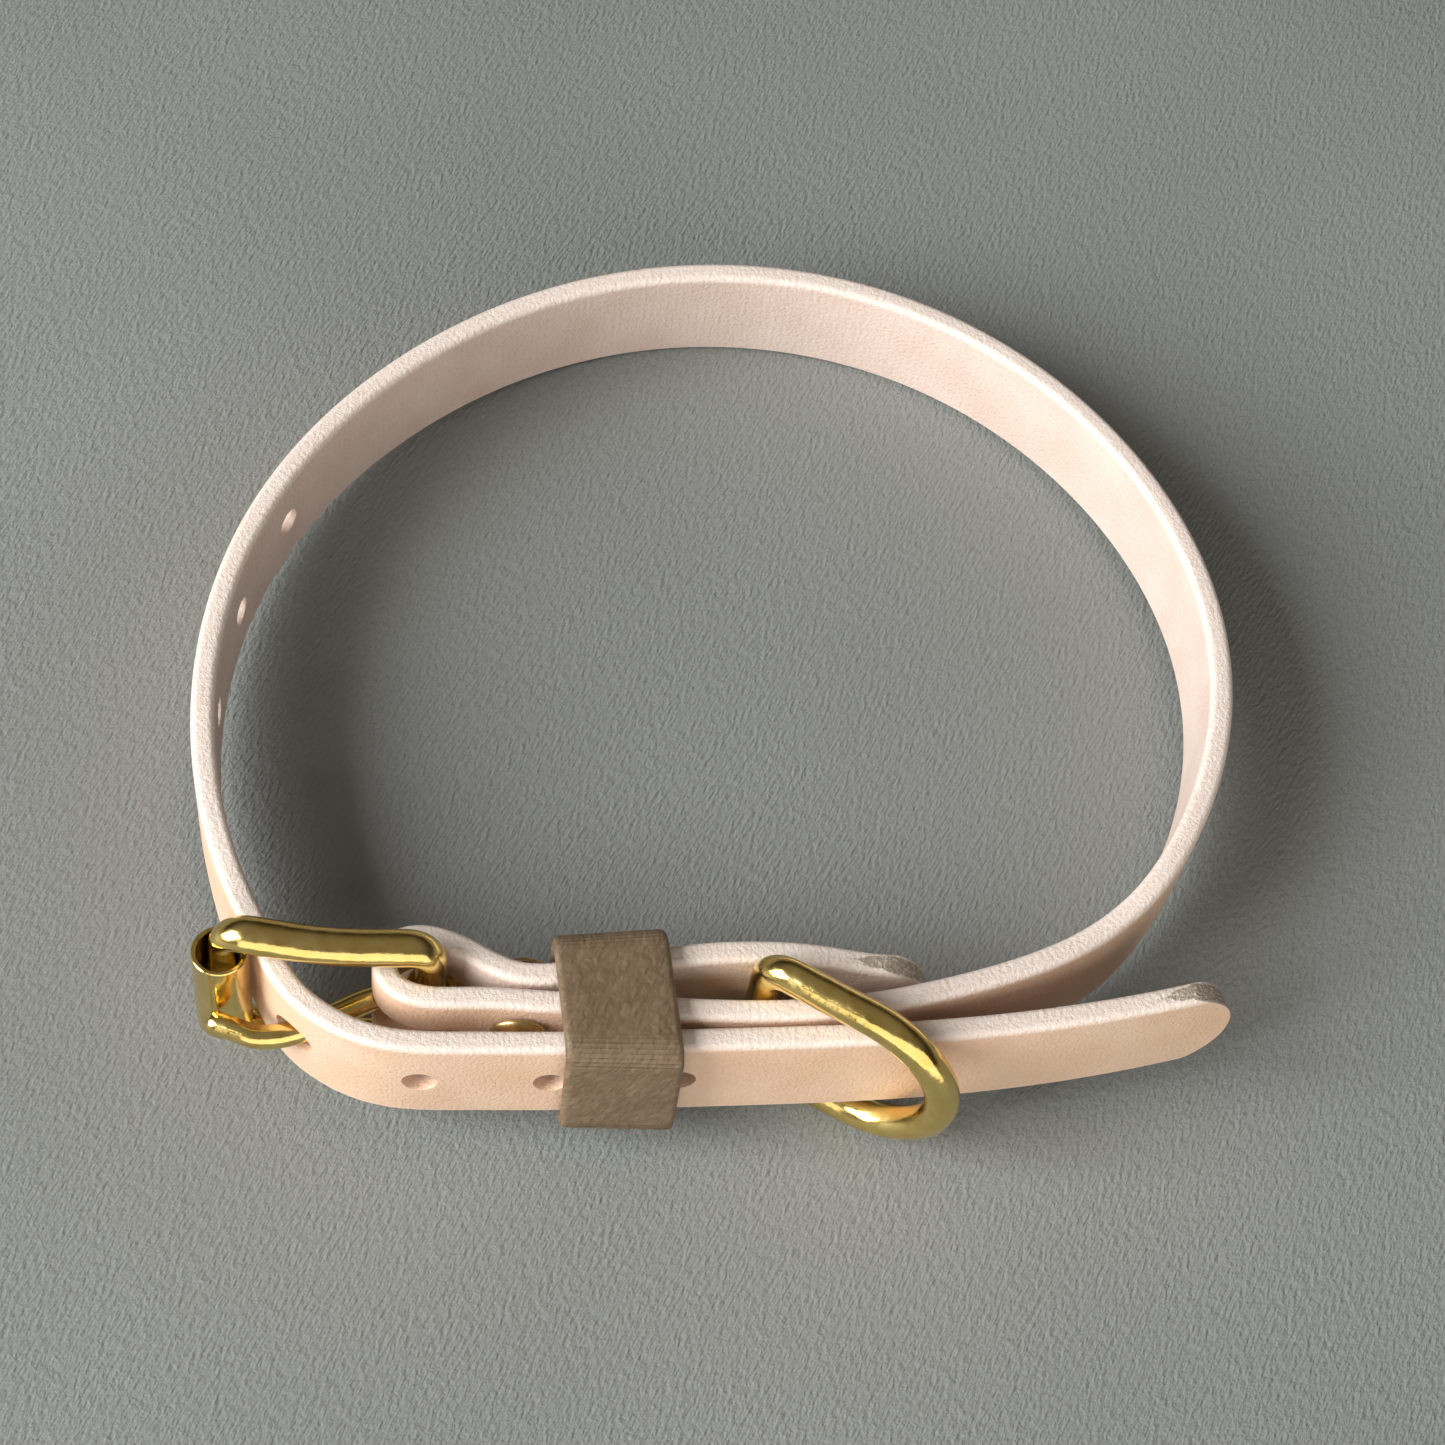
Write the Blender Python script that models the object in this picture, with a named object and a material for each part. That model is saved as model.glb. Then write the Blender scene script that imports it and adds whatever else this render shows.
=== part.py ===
# Dog collar in coated webbing, fastened and standing on its edge.
# Metres, +Z up. The doubled front lies along X on the -Y side, the neck hollow is open along Z.
# Sizes below are in millimetres and degrees. Each one is written once and turned into metres at the end.

import math

import bmesh
import bpy
from mathutils import Matrix, Vector

MM = 0.001

# Driving sizes
STRAP_WIDTH = 16.0
STRAP_THICKNESS = 3.0
STRAP_CORNER = 0.9
STRAP_LENGTH = 569.1
TIP_LENGTH = 8.5
STRAP_START = (62.27, -41.34)
STRAP_START_HEADING = 198.13

GAP = 0.3
RIVET_SEAT = 0.4

HOLE_DIAMETER = 4.0
HOLE_PITCH = 15.4
FIRST_HOLE_FROM_TIP = 68.9
HOLE_COUNT = 9
PRONG_HOLE_NUMBER = 4

WIRE = 3.8
SIDE_BAR = 4.2
SIDE_BAR_DEPTH = 4.8
ROLLER_BAR = 3.2
ROLLER_WALL = 0.6
ROLLER_DIAMETER = 6.8
ROLLER_LENGTH = 16.0
ROLLER_HANG = (-0.25, -0.9)

FRAME_HEEL = (-35.6, -44.8)
FRAME_ROLLER_BAR = (-60.25, -43.9)
FRAME_SIDE_ROOM = 0.7
FRAME_INSIDE_HEIGHT = STRAP_WIDTH + 2 * FRAME_SIDE_ROOM
FRAME_RISE = 0.4
FRAME_CORNER = 2.8
FRAME_BOW = 0.7

PRONG_DIAMETER = 3.2
PRONG_TIP_DIAMETER = 2.9
PRONG_RING_WALL = 1.3
PRONG_RING_HEIGHT = 3.4
PRONG_ROOM = 0.55
PRONG_SLOT_LENGTH = 7.9
PRONG_SLOT_DEPTH = 6.8
RING_INSIDE = WIRE / 2 + GAP
RING_OUTSIDE = RING_INSIDE + PRONG_RING_WALL

D_BAR = (4.5, -44.57)
D_WIRE = 4.3
D_DEPTH = 24.7
D_SIDE_ROOM = 1.3
D_INSIDE_HEIGHT = STRAP_WIDTH + 2 * D_SIDE_ROOM
D_CORNER = 3.0
D_REST_HEADING = -28.0

KEEPER_WALL = 1.8
KEEPER_EDGE = 0.6
KEEPER_OUTER_CORNER = 3.0
KEEPER_TOP_CLEARANCE = 0.5
KEEPER_BOTTOM_CLEARANCE = 0.4

RIVET_SHANK = 3.0

FRONT_LEAN = 4.25
LEAN_AXIS_Y = -48.0
LEAN_FROM_Y = -26.0
LEAN_FULL_Y = -38.0
REST_TILT = 2.95

# Tables
# Strap route in plan from the free tip to the riveted end:
# (stretch, share of STRAP_LENGTH, degrees turned along it, to the right is minus).
STRAP_ROUTE = (
    ("free end in front", 0.08397, -12.02),
    ("front, by the D-ring and keeper", 0.07106, -3.12),
    ("front, left of the keeper", 0.02078, -3.20),
    ("bend to the buckle", 0.01856, -27.93),
    ("into the buckle", 0.00601, -9.13),
    ("through the buckle", 0.01291, -23.96),
    ("past the roller", 0.01132, 0.57),
    ("out to the left side", 0.01582, -7.90),
    ("left side, near", 0.05416, -25.29),
    ("left side", 0.06287, -31.33),
    ("left side, far", 0.05369, -23.71),
    ("far side, left", 0.06338, -31.24),
    ("far side, right", 0.06207, -33.32),
    ("right side, far", 0.06704, -35.25),
    ("right side", 0.05569, -34.17),
    ("right side, near", 0.03714, -22.39),
    ("back to the front", 0.03323, -28.20),
    ("into the middle layer", 0.03480, -11.86),
    ("middle layer, right", 0.03854, -13.33),
    ("middle layer by the keeper", 0.04218, -2.77),
    ("middle layer to the fold", 0.01934, -4.73),
    ("fold, first bend", 0.00550, -23.31),
    ("fold, outer side", 0.00507, -40.65),
    ("fold, nose", 0.00467, -37.97),
    ("fold, nose end", 0.00459, -42.99),
    ("fold, inner side", 0.00510, -31.30),
    ("fold, last bend", 0.00540, -17.21),
    ("behind the heel bar", 0.00582, -8.54),
    ("dip to the rivet, start", 0.00645, 6.53),
    ("dip to the rivet", 0.00629, 20.37),
    ("dip, end", 0.01753, 14.06),
    ("inner layer in the keeper", 0.03213, -10.32),
    ("inner layer by the D-ring", 0.02118, -8.46),
    ("inner layer, end", 0.01572, 20.77),
)

# Outline of the free tip: (share of TIP_LENGTH from the tip, share of the strap's width).
TIP_OUTLINE = (
    (0.00, 0.13),
    (0.06, 0.34),
    (0.20, 0.58),
    (0.42, 0.79),
    (0.70, 0.94),
    (1.00, 1.00),
)

# Keeper's outer corners in plan: (corner, x, y).
KEEPER_CORNERS = {
    "back left": (-21.6, -40.3),
    "back right": (-7.9, -38.4),
    "front left": (-18.3, -57.6),
    "front right": (-5.2, -57.2),
}

# Prong's centre line in plan from its ring to its tip: (x, y).
PRONG_LINE = (
    (-38.0, -44.9),
    (-42.0, -45.5),
    (-46.0, -47.6),
    (-50.0, -50.1),
    (-53.0, -51.25),
    (-56.0, -51.55),
    (-58.6, -50.7),
    (-61.2, -49.8),
)

# Rounded nose of the prong: (distance past its tip, width), both shares of PRONG_TIP_DIAMETER.
PRONG_NOSE = ((0.0, 0.85), (0.2, 0.48))

# Rivet profiles: (share of the head's radius, mm outward from the strap face), from the axis to the rim.
DOME_HEAD = ((0.0, 1.70), (0.35, 1.55), (0.66, 1.20), (0.88, 0.72), (1.0, 0.20), (0.98, 0.0))
FLAT_HEAD = ((0.0, 0.80), (0.75, 0.75), (0.95, 0.50), (1.0, 0.25), (0.98, 0.0))
THIN_HEAD = ((0.0, 0.40), (0.85, 0.35), (1.0, 0.15), (0.98, 0.0))

# Rivets: where each stands along the front, its height over the strap's middle, its heads,
# and the shares of STRAP_LENGTH that it joins.
RIVETS = {
    "rivet": {
        "x": -24.45,
        "rise": 2.6,
        "front head": DOME_HEAD,
        "back head": FLAT_HEAD,
        "front diameter": 7.2,
        "back diameter": 6.4,
        "middle layer": (0.774, 0.879),
        "inner layer": (0.879, 0.949),
    },
    "end_rivet": {
        "x": 20.8,
        "rise": 0.0,
        "front head": THIN_HEAD,
        "back head": THIN_HEAD,
        "front diameter": 5.0,
        "back diameter": 5.0,
        "middle layer": (0.703, 0.791),
        "inner layer": (0.949, 1.0),
    },
}

# Look of each piece: (colour, roughness, metallic).
LOOKS = {
    "strap": ((0.83, 0.66, 0.57), 0.55, 0.0),
    "keeper": ((0.20, 0.155, 0.115), 0.6, 0.0),
    "metal": ((0.78, 0.60, 0.27), 0.22, 1.0),
    "rivets": ((0.72, 0.56, 0.30), 0.35, 1.0),
}

STEP_ALONG = 4.0
STEP_TURN = 6.5
MID_Z = STRAP_WIDTH / 2


# Plan route
def hermite(knots, values, at):
    """Smooth value between table rows, with slopes taken from the rows on either side."""
    last = len(knots) - 2
    slopes = [(values[i + 1] - values[i]) / (knots[i + 1] - knots[i]) for i in range(last + 1)]
    tangents = [slopes[0]]
    for i in range(1, last + 1):
        before, after = knots[i] - knots[i - 1], knots[i + 1] - knots[i]
        tangents.append((slopes[i - 1] * after + slopes[i] * before) / (before + after))
    tangents.append(slopes[-1])
    k = 0
    while k < last and at >= knots[k + 1]:
        k += 1
    step = knots[k + 1] - knots[k]
    u = (at - knots[k]) / step
    return (
        values[k] * (1 + 2 * u) * (1 - u) ** 2
        + tangents[k] * step * u * (1 - u) ** 2
        + values[k + 1] * u * u * (3 - 2 * u)
        + tangents[k + 1] * step * u * u * (u - 1)
    )


def route_knots():
    knots, headings = [0.0], [STRAP_START_HEADING]
    for _, share, turn in STRAP_ROUTE:
        knots.append(knots[-1] + share * STRAP_LENGTH)
        headings.append(headings[-1] + turn)
    return knots, headings


def walk_route(step=0.25):
    """Points of the strap's centre line: (distance from the tip, x, y, heading in radians)."""
    knots, headings = route_knots()
    count = math.ceil(knots[-1] / step)
    step = knots[-1] / count
    x, y = STRAP_START
    rows = []
    for i in range(count + 1):
        s = i * step
        rows.append((s, x, y, math.radians(hermite(knots, headings, min(s, knots[-1])))))
        middle = math.radians(hermite(knots, headings, min(s + step / 2, knots[-1])))
        x += math.cos(middle) * step
        y += math.sin(middle) * step
    return rows


ROUTE = walk_route()


def on_route(s):
    """Point and heading on the centre line at a distance from the tip."""
    at = max(0.0, min(s, ROUTE[-1][0])) / (ROUTE[1][0] - ROUTE[0][0])
    i = min(int(at), len(ROUTE) - 2)
    u = at - i
    first, second = ROUTE[i], ROUTE[i + 1]
    return tuple(first[k] * (1 - u) + second[k] * u for k in (1, 2, 3))


def route_at_x(x, first, last):
    """Distance from the tip where the route between two distances crosses x."""
    rows = [row for row in ROUTE if first <= row[0] <= last]
    return min(rows, key=lambda row: abs(row[1] - x))[0]


# From the flat plan to the place where the collar stands
def leaned(point):
    """The stacked front leans: its upper edge goes inward about a line along X."""
    x, y, z = point
    share = max(0.0, min((LEAN_FROM_Y - y) / (LEAN_FROM_Y - LEAN_FULL_Y), 1.0))
    share = share * share * (3 - 2 * share)
    turn = Matrix.Rotation(math.radians(-FRONT_LEAN * share), 3, "X")
    centre = Vector((0.0, LEAN_AXIS_Y, MID_Z))
    return centre + turn @ (Vector((x, y, z)) - centre)


def tilted(point):
    """The hardware under the front raises it, so the whole collar tips back a little."""
    return Matrix.Rotation(math.radians(-REST_TILT), 3, "X") @ point


def placed(point):
    return tilted(leaned(point))


# Mesh helpers
def new_object(name, points, faces, look=None):
    mesh = bpy.data.meshes.new(name)
    mesh.from_pydata([tuple(p) for p in points], [], faces)
    shape = bmesh.new()
    shape.from_mesh(mesh)
    bmesh.ops.recalc_face_normals(shape, faces=shape.faces)
    bmesh.ops.triangulate(shape, faces=[f for f in shape.faces if len(f.verts) > 4])
    shape.to_mesh(mesh)
    shape.free()
    made = bpy.data.objects.new(name, mesh)
    bpy.context.scene.collection.objects.link(made)
    if look:
        mesh.materials.append(material(name, look))
    return made


def material(name, look):
    colour, roughness, metallic = LOOKS[look]
    made = bpy.data.materials.new(name)
    made.use_nodes = True
    shader = made.node_tree.nodes["Principled BSDF"]
    shader.inputs["Base Color"].default_value = (*colour, 1.0)
    shader.inputs["Roughness"].default_value = roughness
    shader.inputs["Metallic"].default_value = metallic
    return made


def skin(rings, closed):
    """Faces between rings of points, with end caps on an open run."""
    count, sides = len(rings), len(rings[0])
    points = [p for ring in rings for p in ring]
    faces = []
    for i in range(count if closed else count - 1):
        j = (i + 1) % count
        for k in range(sides):
            m = (k + 1) % sides
            faces.append((i * sides + k, i * sides + m, j * sides + m, j * sides + k))
    if not closed:
        faces.append(tuple(range(sides)))
        faces.append(tuple(range((count - 1) * sides, count * sides)))
    return points, faces


def rounded_box(width, height, radius, per_corner):
    """Outline of a rounded rectangle about its centre: (across, up)."""
    outline = []
    for sx, sz, start in ((1, 1, 0), (-1, 1, 90), (-1, -1, 180), (1, -1, 270)):
        for k in range(per_corner):
            turn = math.radians(start + 90 * k / (per_corner - 1))
            outline.append(
                (
                    sx * (width / 2 - radius) + radius * math.cos(turn),
                    sz * (height / 2 - radius) + radius * math.sin(turn),
                )
            )
    return outline


def circle(radius, sides):
    turns = [2 * math.pi * k / sides for k in range(sides)]
    return [(radius * math.cos(t), radius * math.sin(t)) for t in turns]


def between(rows, at):
    """Straight interpolation of a two-column table."""
    for (a, va), (b, vb) in zip(rows, rows[1:]):
        if at <= b:
            return va + (vb - va) * (at - a) / (b - a)
    return rows[-1][1]


def tube(centres, radii, sides, closed, flat_normal):
    """Rings of a bent wire whose centre line lies in one plane: radii are (in that plane, across it)."""
    rings = []
    count = len(centres)
    for i, centre in enumerate(centres):
        before = centres[i - 1] if closed or i else centres[i]
        after = centres[(i + 1) % count] if closed or i < count - 1 else centres[i]
        along = (after - before).normalized()
        side = flat_normal.cross(along).normalized()
        within, across = radii[i]
        rings.append([centre + side * a * within + flat_normal * b * across for a, b in circle(1, sides)])
    return rings


def turned(profile, sides, centre, axis, start):
    """Closed solid turned about an axis from a profile of (radius, along the axis)."""
    other = axis.cross(start).normalized()
    rings = []
    for radius, along in profile:
        ring = [centre + axis * along + (start * a + other * b) for a, b in circle(radius, sides)]
        rings.append(ring)
    return rings


# Strap
def strap_stations():
    knots, headings = route_knots()
    stations = [share * TIP_LENGTH for share, _ in TIP_OUTLINE]
    for k in range(len(knots) - 1):
        length = knots[k + 1] - knots[k]
        turn = abs(headings[k + 1] - headings[k])
        count = max(math.ceil(length / STEP_ALONG), math.ceil(turn / STEP_TURN))
        for i in range(1, count + 1):
            s = knots[k] + length * i / count
            if s > stations[-1] + STEP_ALONG / 8:
                stations.append(s)
    return stations


def strap_section(s):
    x, y, heading = on_route(s)
    share = between(TIP_OUTLINE, s / TIP_LENGTH)
    outline = rounded_box(STRAP_THICKNESS, STRAP_WIDTH * share, STRAP_CORNER, 3)
    across = (math.sin(heading), -math.cos(heading))
    return [placed((x + across[0] * a, y + across[1] * a, MID_Z + b)) for a, b in outline]


def strap_cutters():
    """Everything cut from the strap: punched holes, rivet holes, and room for the prong."""
    rings = []
    for number in range(HOLE_COUNT):
        if number + 1 == PRONG_HOLE_NUMBER:
            continue
        x, y, heading = on_route(FIRST_HOLE_FROM_TIP + number * HOLE_PITCH)
        across = Vector((math.sin(heading), -math.cos(heading), 0))
        reach = STRAP_THICKNESS / 2 + GAP
        profile = ((HOLE_DIAMETER / 2, -reach), (HOLE_DIAMETER / 2, reach))
        rings.append(turned(profile, 16, Vector((x, y, MID_Z)), across, Vector((0, 0, 1))))
    for name in RIVETS:
        centre, axis, front, back = rivet_line(name)
        radius = RIVET_SHANK / 2 + GAP
        profile = ((radius, front - GAP), (radius, back + GAP))
        rings.append(turned(profile, 16, centre, axis, Vector((0, 0, 1))))
    half = PRONG_RING_HEIGHT / 2 + GAP
    x, y = FRAME_HEEL
    low = (x - PRONG_SLOT_LENGTH, y - PRONG_SLOT_DEPTH)
    high = (x + RING_OUTSIDE + GAP, y + PRONG_SLOT_DEPTH)
    rings.append(box_rings(low, high, half, None))
    (x0, y0), (x1, y1) = PRONG_LINE[2], PRONG_LINE[4]
    along = Vector((x1 - x0, y1 - y0, 0)).normalized()
    half = PRONG_DIAMETER / 2 + PRONG_ROOM
    rings.append(box_rings((x0, y0), (x1, y1), half, along))
    return rings


def box_rings(first, second, half, along):
    """A box cutter: between two plan corners, or along a line with the same half size each way."""
    if along is None:
        (x0, y0), (x1, y1) = first, second
        plan = ((x0, y0), (x1, y0), (x1, y1), (x0, y1))
    else:
        side = Vector((-along.y, along.x, 0)) * half
        a, b = Vector((*first, 0)), Vector((*second, 0))
        plan = [(p.x, p.y) for p in (a + side, a - side, b - side, b + side)]
    return [[Vector((x, y, MID_Z + z)) for x, y in plan] for z in (-half, half)]


def rivet_line(name):
    """(centre, axis, front seat, back seat) of a rivet, the seats measured along its axis from the centre."""
    row = RIVETS[name]
    spans = [[share * STRAP_LENGTH for share in row[layer]] for layer in ("middle layer", "inner layer")]
    (x0, y0, h0), (x1, y1, h1) = (on_route(route_at_x(row["x"], *span)) for span in spans)
    tangent = Vector((math.cos(h1) - math.cos(h0), math.sin(h1) - math.sin(h0), 0)).normalized()
    axis = Vector((-tangent.y, tangent.x, 0))
    centre = Vector(((x0 + x1) / 2, (y0 + y1) / 2, MID_Z + row["rise"]))
    reaches = []
    for span, side, diameter in zip(spans, (-1, 1), (row["front diameter"], row["back diameter"])):
        faces = []
        for s, x, y, heading in ROUTE:
            offset = Vector((x, y, centre.z)) - centre
            if span[0] <= s <= span[1] and abs(offset.dot(tangent)) <= diameter / 2:
                square = abs(math.cos(heading) * tangent.x + math.sin(heading) * tangent.y)
                faces.append(side * offset.dot(axis) + STRAP_THICKNESS / 2 / square)
        reaches.append(max(faces) + RIVET_SEAT)
    return centre, axis, -reaches[0], reaches[1]


def cut(target, shapes):
    """Takes the joined cutters out of the target and leaves one plain mesh."""
    points, faces = [], []
    for rings in shapes:
        more, sides = skin([[placed(p) for p in ring] for ring in rings], False)
        faces += [tuple(i + len(points) for i in face) for face in sides]
        points += more
    cutter = new_object(target.name + "_cutter", points, faces)
    cutter.hide_render = True
    cutter.display_type = "WIRE"
    modifier = target.modifiers.new("holes", "BOOLEAN")
    modifier.operation = "DIFFERENCE"
    modifier.solver = "EXACT"
    modifier.object = cutter
    return cutter


def build_strap():
    points, faces = skin([strap_section(s) for s in strap_stations()], False)
    strap = new_object("strap", points, faces, "strap")
    cut(strap, strap_cutters())
    return strap


# Buckle
def frame_outline():
    """Centre line of the frame in its own plane: (share across from roller bar to heel bar, z)."""
    length = (Vector(FRAME_HEEL) - Vector(FRAME_ROLLER_BAR)).length
    height = FRAME_INSIDE_HEIGHT + SIDE_BAR
    outline = rounded_box(length, height, FRAME_CORNER, 6)
    dense = []
    for i, (a, z) in enumerate(outline):
        b, w = outline[(i + 1) % len(outline)]
        pieces = max(1, round(math.hypot(b - a, w - z) / STEP_ALONG))
        for k in range(pieces):
            dense.append((a + (b - a) * k / pieces, z + (w - z) * k / pieces))
    return [(0.5 + a / length, z) for a, z in dense], height


def build_frame():
    outline, height = frame_outline()
    centres, radii = [], []
    roller, heel = Vector((*FRAME_ROLLER_BAR, 0)), Vector((*FRAME_HEEL, 0))
    along = (heel - roller).normalized()
    outward = Vector((along.y, -along.x, 0))
    for share, z in outline:
        bow = FRAME_BOW * math.sin(math.pi * max(0.0, min(share, 1.0))) ** 2
        bow *= min(1.0, abs(z) / (height / 2))
        centre = roller.lerp(heel, share) + outward * bow
        centres.append(Vector((centre.x, centre.y, MID_Z + FRAME_RISE + z)))
        upright = WIRE if share > 0.5 else ROLLER_BAR
        side = min(1.0, max(0.0, (abs(z) - height / 2 + FRAME_CORNER) / FRAME_CORNER))
        radii.append([(upright + (bar - upright) * side) / 2 for bar in (SIDE_BAR, SIDE_BAR_DEPTH)])
    rings = tube(centres, radii, 12, True, outward)
    points, faces = skin([[placed(p) for p in ring] for ring in rings], True)
    return new_object("buckle_frame", points, faces, "metal")


def roller_axis():
    centre = Vector(FRAME_ROLLER_BAR) + Vector(ROLLER_HANG)
    return Vector((centre.x, centre.y, MID_Z + FRAME_RISE))


def build_roller():
    inner = ROLLER_DIAMETER / 2 - ROLLER_WALL
    half = ROLLER_LENGTH / 2
    outer = ROLLER_DIAMETER / 2
    ease = ROLLER_WALL / 5
    profile = (
        (outer - ease, -half),
        (outer, -half + ease),
        (outer, half - ease),
        (outer - ease, half),
        (inner, half),
        (inner, -half),
    )
    rings = turned(profile, 28, roller_axis(), Vector((0, 0, 1)), Vector((1, 0, 0)))
    points, faces = skin([[placed(p) for p in ring] for ring in rings], True)
    roller = new_object("roller", points, faces, "metal")
    set_origin(roller, *joint_line(roller_axis()))
    return roller


def build_prong():
    """A ring round the heel bar with a bent rod that rests against the roller."""
    half = PRONG_RING_HEIGHT / 2
    heel = Vector((*FRAME_HEEL, MID_Z))
    profile = ((RING_OUTSIDE, -half), (RING_OUTSIDE, half), (RING_INSIDE, half), (RING_INSIDE, -half))
    rings = turned(profile, 28, heel, Vector((0, 0, 1)), Vector((1, 0, 0)))
    points, faces = skin([[placed(p) for p in ring] for ring in rings], True)
    prong = new_object("prong", points, faces, "metal")
    lengths = [0.0]
    for (x0, y0), (x1, y1) in zip(PRONG_LINE, PRONG_LINE[1:]):
        lengths.append(lengths[-1] + math.hypot(x1 - x0, y1 - y0))
    xs, ys = [p[0] for p in PRONG_LINE], [p[1] for p in PRONG_LINE]
    centres, radii = [], []
    count = 18
    for i in range(count + 1):
        share = i / count
        at = share * lengths[-1]
        centres.append(Vector((hermite(lengths, xs, at), hermite(lengths, ys, at), MID_Z)))
        radii.append((PRONG_DIAMETER + (PRONG_TIP_DIAMETER - PRONG_DIAMETER) * share) / 2)
    along = (centres[-1] - centres[-2]).normalized()
    end = centres.pop()
    radii.pop()
    for out, width in PRONG_NOSE:
        centres.append(end + along * PRONG_TIP_DIAMETER * out)
        radii.append(PRONG_TIP_DIAMETER / 2 * width)
    rod_rings = tube(centres, [(r, r) for r in radii], 12, False, Vector((0, 0, 1)))
    points, faces = skin([[placed(p) for p in ring] for ring in rod_rings], False)
    rod = new_object("prong_rod", points, faces)
    rod.hide_render = True
    rod.display_type = "WIRE"
    joined = prong.modifiers.new("rod", "BOOLEAN")
    joined.operation = "UNION"
    joined.solver = "EXACT"
    joined.object = rod
    return prong


# D-ring
def d_outline():
    """Centre line of the D in its own plane: (out from the bar, z)."""
    half = (D_INSIDE_HEIGHT + D_WIRE) / 2
    straight = D_DEPTH - half
    rows = []
    for k in range(5):
        turn = math.radians(180 + 90 * k / 4)
        rows.append((D_CORNER + D_CORNER * math.cos(turn), -half + D_CORNER + D_CORNER * math.sin(turn)))
    for k in range(1, 4):
        rows.append((D_CORNER + (straight - D_CORNER) * k / 4, -half))
    for k in range(17):
        turn = math.radians(-90 + 180 * k / 16)
        rows.append((straight + half * math.cos(turn), half * math.sin(turn)))
    for k in range(1, 4):
        rows.append((straight + (D_CORNER - straight) * k / 4, half))
    for k in range(5):
        turn = math.radians(90 + 90 * k / 4)
        rows.append((D_CORNER + D_CORNER * math.cos(turn), half - D_CORNER + D_CORNER * math.sin(turn)))
    for k in range(1, 5):
        rows.append((0.0, (half - D_CORNER) * (1 - 2 * k / 5)))
    return rows


def build_d_ring():
    bar = Vector((*D_BAR, MID_Z))
    heading = math.radians(D_REST_HEADING)
    out = Vector((math.cos(heading), math.sin(heading), 0))
    flat = Vector((-out.y, out.x, 0))
    centres = [bar + out * a + Vector((0, 0, z)) for a, z in d_outline()]
    rings = tube(centres, [(D_WIRE / 2, D_WIRE / 2)] * len(centres), 12, True, flat)
    points, faces = skin([[placed(p) for p in ring] for ring in rings], True)
    ring = new_object("d_ring", points, faces, "metal")
    set_origin(ring, *joint_line(bar))
    return ring


def joint_line(centre):
    """A joint's origin and axis in the place where the collar stands."""
    origin = placed(centre)
    return origin, (placed(centre + Vector((0, 0, 1))) - origin).normalized()


def set_origin(piece, origin, axis):
    """Puts a moving piece's origin on its joint axis, with its own Z along the axis."""
    frame = Matrix.Translation(origin) @ axis.to_track_quat("Z", "Y").to_matrix().to_4x4()
    piece.data.transform(frame.inverted())
    piece.matrix_world = frame


# Keeper
def keeper_section():
    """Outline of the keeper's band: (across the band, through its wall)."""
    width = (Vector(KEEPER_CORNERS["back right"]) - Vector(KEEPER_CORNERS["back left"])).length
    return rounded_box(width, KEEPER_WALL, KEEPER_EDGE, 3), width


def build_keeper():
    corner = {name: Vector(xy) for name, xy in KEEPER_CORNERS.items()}
    depth = ((corner["back left"] - corner["front left"]).length + (corner["back right"] - corner["front right"]).length) / 2
    low = -KEEPER_BOTTOM_CLEARANCE - KEEPER_WALL
    high = STRAP_WIDTH + KEEPER_TOP_CLEARANCE + KEEPER_WALL
    radius = KEEPER_OUTER_CORNER - KEEPER_WALL / 2
    wall_depth, wall_height = depth - KEEPER_WALL, high - low - KEEPER_WALL
    path = []
    outline = rounded_box(wall_depth, wall_height, radius, 5)
    for i, (a, z) in enumerate(outline):
        b, w = outline[(i + 1) % len(outline)]
        pieces = max(1, round(math.hypot(b - a, w - z) / STEP_ALONG))
        for k in range(pieces):
            path.append((a + (b - a) * k / pieces, z + (w - z) * k / pieces))
    section, width = keeper_section()
    rings = []
    count = len(path)
    for i, (a, z) in enumerate(path):
        before, after = path[i - 1], path[(i + 1) % count]
        along = Vector((after[0] - before[0], after[1] - before[1])).normalized()
        ring = []
        for across, through in section:
            back = a + along.y * through
            up = z - along.x * through
            u, v = (across + width / 2) / width, (back + depth / 2) / depth
            front = corner["front left"].lerp(corner["front right"], u)
            rear = corner["back left"].lerp(corner["back right"], u)
            plan = front.lerp(rear, v)
            ring.append(placed((plan.x, plan.y, (low + high) / 2 + up)))
        rings.append(ring)
    points, faces = skin(rings, True)
    return new_object("keeper", points, faces, "keeper")


# Rivets
def build_rivet(name):
    centre, axis, front, back = rivet_line(name)
    row = RIVETS[name]
    shank = RIVET_SHANK / 2
    head = [(share * row["front diameter"] / 2, front - out) for share, out in row["front head"]]
    foot = [(share * row["back diameter"] / 2, back + out) for share, out in reversed(row["back head"])]
    profile = [p for p in head + [(shank, front), (shank, back)] + foot if p[0] > 0]
    rings = turned(profile, 24, centre, axis, Vector((0, 0, 1)))
    points, faces = skin([[placed(p) for p in ring] for ring in rings], False)
    return new_object(name, points, faces, "rivets")


def stand_on_floor():
    """Moves everything so that the collar's box is centred over the origin and its lowest point is at zero."""
    bpy.context.view_layer.update()
    shapes = [o for o in bpy.data.objects if not o.hide_render]
    corners = [o.matrix_world @ v.co for o in shapes for v in o.data.vertices]
    low = Vector([min(c[k] for c in corners) for k in range(3)])
    high = Vector([max(c[k] for c in corners) for k in range(3)])
    shift = Vector((-(low.x + high.x) / 2, -(low.y + high.y) / 2, -low.z))
    for piece in bpy.data.objects:
        loc, turn, _ = (Matrix.Translation(shift) @ piece.matrix_world).decompose()
        piece.data.transform(Matrix.Scale(MM, 4))
        piece.matrix_world = Matrix.Translation(loc * MM) @ turn.to_matrix().to_4x4()


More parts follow.
